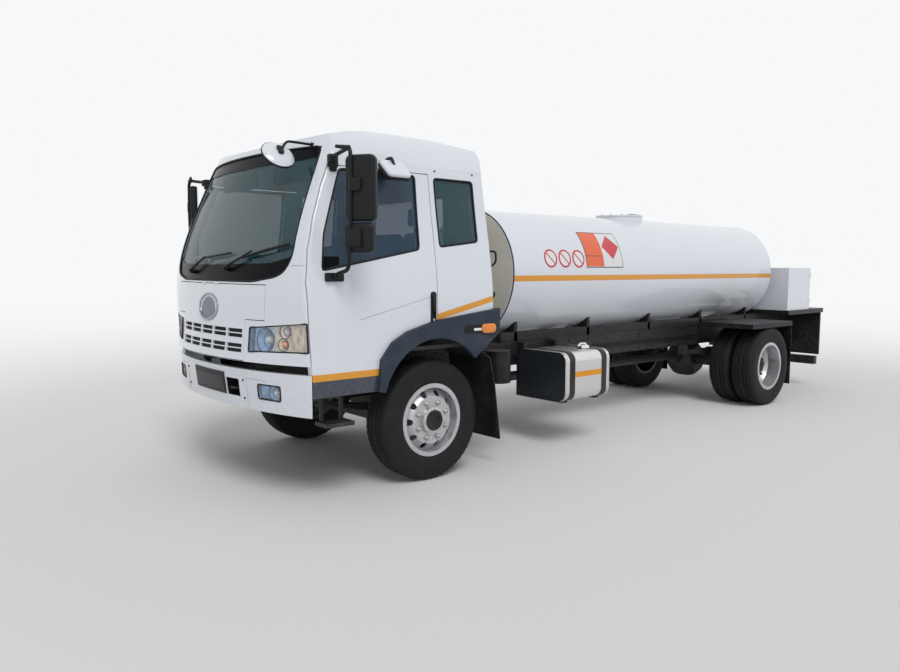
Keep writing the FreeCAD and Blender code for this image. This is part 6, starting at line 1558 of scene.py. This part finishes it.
class TANKER_OT_chassis_trim(TankerOperator):
    """Frame bolts, barrel bearers, grips behind the cab, brake pipes and fuel tank fittings"""

    bl_idname = "tanker.chassis_trim"
    bl_label = "Chassis trim"

    rail_y, rail_top, bolt_pitch, bolt_levels = 0.43, 1.0, 0.32, (0.80, 0.96)
    bolt = ((0, 0.010), (0.009, 0.010), (0.012, 0.008), (0.012, 0), (0, 0))
    bearer_middle, bearer_y, bearer_half = -4.528, 0.3925, (3.092, 0.0375, 0.05)
    saddle_first, saddle_pitch, saddle_length, saddles = -1.6735, 1.15975, 0.045, 5
    grips = (((-0.600, 1.090, 1.900), (-0.690, 1.105, 1.900), (-0.700, 1.110, 1.885),
              (-0.700, 1.112, 1.812), (-0.690, 1.095, 1.785), (-0.610, 1.060, 1.740)),
             ((-0.610, 1.090, 1.545), (-0.690, 1.098, 1.545), (-0.700, 1.098, 1.530),
              (-0.690, 1.085, 1.490), (-0.610, 1.060, 1.460)))
    pipe_y, pipe_levels, pipe_drop = 0.4385, (0.845, 0.865, 0.885), 0.02
    cap_spot = (-2.100, 0.950, 0.967)
    cap = ((0, 0.014), (0.050, 0.014), (0.061, 0.006), (0.0635, -0.016), (0.056, -0.020), (0, -0.020))
    lever = ((-0.048, 0, 0.010), (-0.028, 0, 0.026), (0.049, 0, 0.028), (0.084, 0, 0.004))
    strap_places, stud_y, stud_low, stud_top = (-1.704, -2.186), 1.045, 0.405, 0.478
    seam_places, tank_edges, tank_corner = (-1.618, -2.254), (0.53, 1.15, 0.47, 0.945), 0.09

    def make(self, scene):
        bolts = [rings_around([(r, h * side) for r, h in self.bolt], (AXLE + x, side * self.rail_y, z),
                              "Y", 6)
                 for side in (1, -1) for x in np.arange(-7.3, 0.95, self.bolt_pitch)
                 for z in self.bolt_levels]
        piece("frame_bolts", bolts, "black", "chassis", 25)
        made = piece("barrel_frame", self.bearers(), "black", "chassis", 30)
        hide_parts("tank_subframe")
        hooks = [tube(eased_path(np.array(spots) * (1, side, 1) + (AXLE, 0, 0), 50, 0.1), 0.0095, 12)
                 for side in (1, -1) for spots in self.grips]
        piece("cab_rear_grips", hooks, "plastic", "cab")
        pipes = [tube(eased_path([(AXLE + x, self.pipe_y, z - drop) for x, drop in
                                  ((-5.0, 0), (-2.6, 0), (-2.5, self.pipe_drop), (-0.2, self.pipe_drop))],
                                 60, 0.04), 0.005, 8) for z in self.pipe_levels]
        piece("brake_pipes", pipes, "plastic", "chassis")
        self.fuel_fittings()

    def bearers(self):
        """Two bearers on the rails, and plates across them whose top is the barrel's underside."""
        y = np.linspace(-self.rail_y, self.rail_y, 41)[None, :]
        under = BARREL_Z - np.sqrt((BARREL_RADIUS + 0.0005) ** 2 - y**2)
        z = self.rail_top + (under - self.rail_top) * np.linspace(0, 1, 5)[:, None]
        patches = [block((AXLE + self.bearer_middle, side * self.bearer_y,
                          self.rail_top + self.bearer_half[2]), self.bearer_half, 0.004, 0.003)
                   for side in (1, -1)]
        for k in range(self.saddles):
            x = np.full(z.shape, AXLE + self.saddle_first - k * self.saddle_pitch)
            patches += slab(np.stack([x, y + 0 * z, z], -1), (self.saddle_length, 0, 0))
        return patches

    def fuel_fittings(self):
        """The filler cap with its lever, the straps' studs and nuts, and the end seams."""
        spot = np.array(self.cap_spot) + (AXLE, 0, 0)
        lever = eased_path(spot + self.lever, 30, 0.2)
        piece("fuel_cap", [rings_around(self.cap, spot, "Z", 40), tube(lever, 0.010, 10, 0.6)], "chrome",
              "chassis")
        studs = []
        for at in self.strap_places:
            x = AXLE + at
            ends = [(x, self.stud_y, z) for z in (self.stud_low, self.stud_top)]
            studs += [tube(np.linspace(*ends, 4), 0.009, 10),
                      rings_around(((0, -0.014), (0.017, -0.014), (0.017, 0), (0, 0)),
                                   (x, self.stud_y, 0.440), "Z", 6)]
        piece("strap_studs", studs, "steel", "chassis", 25)
        y, z = rounded_outline(rect(*self.tank_edges), self.tank_corner, 9).T
        seams = [tube(np.stack([np.full(len(y), AXLE + at), y, z], -1), 0.0035, 8, closed=True)
                 for at in self.seam_places]
        piece("fuel_tank_seams", seams, "fuel", "chassis")


# Stage

BACKDROP = (0.93, 0.94, 0.95)
FADE_FROM, FADE_TO = 6.0, 40.0           # metres from the middle where the floor's fade starts and ends
CAMERA_SPOT = (3.912, 5.889, 1.773)
CAMERA_TURN = (-130.57, -5.28, 0.17)     # degrees: yaw, pitch and roll
LAMP_FROM, LAMP_SPREAD = (0.35, 0.80, 1.05), 28


def picture_rays(nodes):
    """1 for rays that carry the picture: seen straight, mirrored or through glass."""
    rays = nodes.node("ShaderNodeLightPath").socket.node.outputs
    camera, glossy, through = (Value(nodes, rays[f"Is {kind} Ray"])
                               for kind in ("Camera", "Glossy", "Transmission"))
    return (camera + glossy + through).clip()


class TANKER_OT_stage(TankerOperator):
    """Floor, soft light and the camera at the photograph's place"""

    bl_idname = "tanker.stage"
    bl_label = "Stage"

    def make(self, scene):
        stage = scene.tanker_stage
        self.floor(scene, stage.floor_tone)
        self.light(scene, stage)
        self.camera(scene, stage.lens)
        scene.view_settings.view_transform = "Standard"

    def floor(self, scene, tone):
        """A pale disc whose far part fades into the backdrop, evenly in the picture."""
        angle = np.linspace(0, math.tau, 96, endpoint=False)[None, :]
        radius = np.array([60.0, 20.0, 8.0, 0.0])[:, None]
        grid = np.stack([radius * np.cos(angle), radius * np.sin(angle), 0 * radius * angle], -1)
        mesh = surface("floor", [(grid, False, True)], outward=False)
        floor = bpy.data.objects.new("floor", mesh)
        scene.collection.objects.link(floor)

        f = Finish("pale_floor", Roughness=0.9)
        f.set("Base Color", f.mix(f.noise(30.0, 3.0), (tone,) * 3, (tone * 1.02,) * 3))
        x, y, _ = f.place()
        distance = f.node("ShaderNodeMath", {"operation": "SQRT"}, {0: x * x + y * y + 1.0})
        away = (1.0 / FADE_FROM - 1.0 / distance).ramp(0.0, 1.0 / FADE_FROM - 1.0 / FADE_TO)
        glow = f.node("ShaderNodeEmission", values={"Color": BACKDROP, "Strength": 1.0})
        share = away * away * (3.0 - 2.0 * away) * picture_rays(f)
        both = f.node("ShaderNodeMixShader", values={0: share, 1: Value(f, f.shader.outputs[0]),
                                                     2: glow})
        f.feed(f.tree.nodes["Material Output"].inputs["Surface"], both)
        mesh.materials.append(f.material)

    def light(self, scene, stage):
        """A soft sky that the picture sees as the backdrop, and one wide key lamp."""
        scene.world = bpy.data.worlds.new("soft_sky")
        scene.world.use_nodes = True
        sky = Nodes(scene.world.node_tree)
        back = sky.tree.nodes["Background"].inputs
        sky.feed(back["Color"], BACKDROP)
        sky.feed(back["Strength"], picture_rays(sky) * (1.0 - stage.sky) + stage.sky)
        lamp = bpy.data.lights.new("key", "SUN")
        lamp.energy, lamp.angle = stage.key, math.radians(LAMP_SPREAD)
        key = bpy.data.objects.new("key", lamp)
        scene.collection.objects.link(key)
        key.rotation_euler = Vector(LAMP_FROM).to_track_quat("Z", "Y").to_euler()

    def camera(self, scene, lens):
        """The camera that the photograph was taken with, turned from its three angles."""
        yaw, pitch, roll = (math.radians(v) for v in CAMERA_TURN)
        ahead = Vector((math.cos(yaw) * math.cos(pitch), math.sin(yaw) * math.cos(pitch),
                        math.sin(pitch)))
        level = ahead.cross(Vector((0, 0, 1))).normalized()
        upright = level.cross(ahead)
        right = level * math.cos(roll) + upright * math.sin(roll)
        up = upright * math.cos(roll) - level * math.sin(roll)
        data = bpy.data.cameras.new("camera")
        data.lens, data.sensor_width, data.clip_end = lens, 36.0, 200.0
        camera = bpy.data.objects.new("camera", data)
        scene.collection.objects.link(camera)
        turn = Matrix((right, up, -ahead)).transposed().to_4x4()
        camera.matrix_world = Matrix.Translation(Vector(CAMERA_SPOT) + Vector((AXLE, 0, 0))) @ turn
        scene.camera = camera


OPERATORS = (TANKER_OT_finishes, TANKER_OT_tyres, TANKER_OT_wheel_trim, TANKER_OT_front_lamps,
             TANKER_OT_rear_lamps, TANKER_OT_turn_lamps, TANKER_OT_front_trim, TANKER_OT_windscreen,
             TANKER_OT_side_trim, TANKER_OT_mirrors, TANKER_OT_barrel_trim, TANKER_OT_seats,
             TANKER_OT_cab_inside, TANKER_OT_chassis_trim, TANKER_OT_stage)


class TANKER_PT_parts(bpy.types.Panel):
    """Lists the tanker's pieces and their settings"""

    bl_idname = "TANKER_PT_parts"
    bl_label = "Tanker truck"
    bl_space_type = "VIEW_3D"
    bl_region_type = "UI"
    bl_category = "Tanker"

    def draw(self, context):
        for group in GROUPS:
            settings = getattr(context.scene, group)
            for name in settings.__annotations__:
                self.layout.prop(settings, name)
        for operator in OPERATORS:
            self.layout.operator(operator.bl_idname)


GROUPS = {"tanker_colours": TankerColours, "tanker_sizes": TankerSizes, "tanker_stage": TankerStage}
CLASSES = tuple(GROUPS.values()) + OPERATORS + (TANKER_PT_parts,)


def register():
    for each in CLASSES:
        bpy.utils.register_class(each)
    for name, group in GROUPS.items():
        setattr(bpy.types.Scene, name, PointerProperty(type=group))


def unregister():
    for name in GROUPS:
        delattr(bpy.types.Scene, name)
    for each in reversed(CLASSES):
        bpy.utils.unregister_class(each)


def main():
    register()
    for operator in OPERATORS:
        group, name = operator.bl_idname.split(".")
        getattr(getattr(bpy.ops, group), name)()


if __name__ == "__main__":
    main()
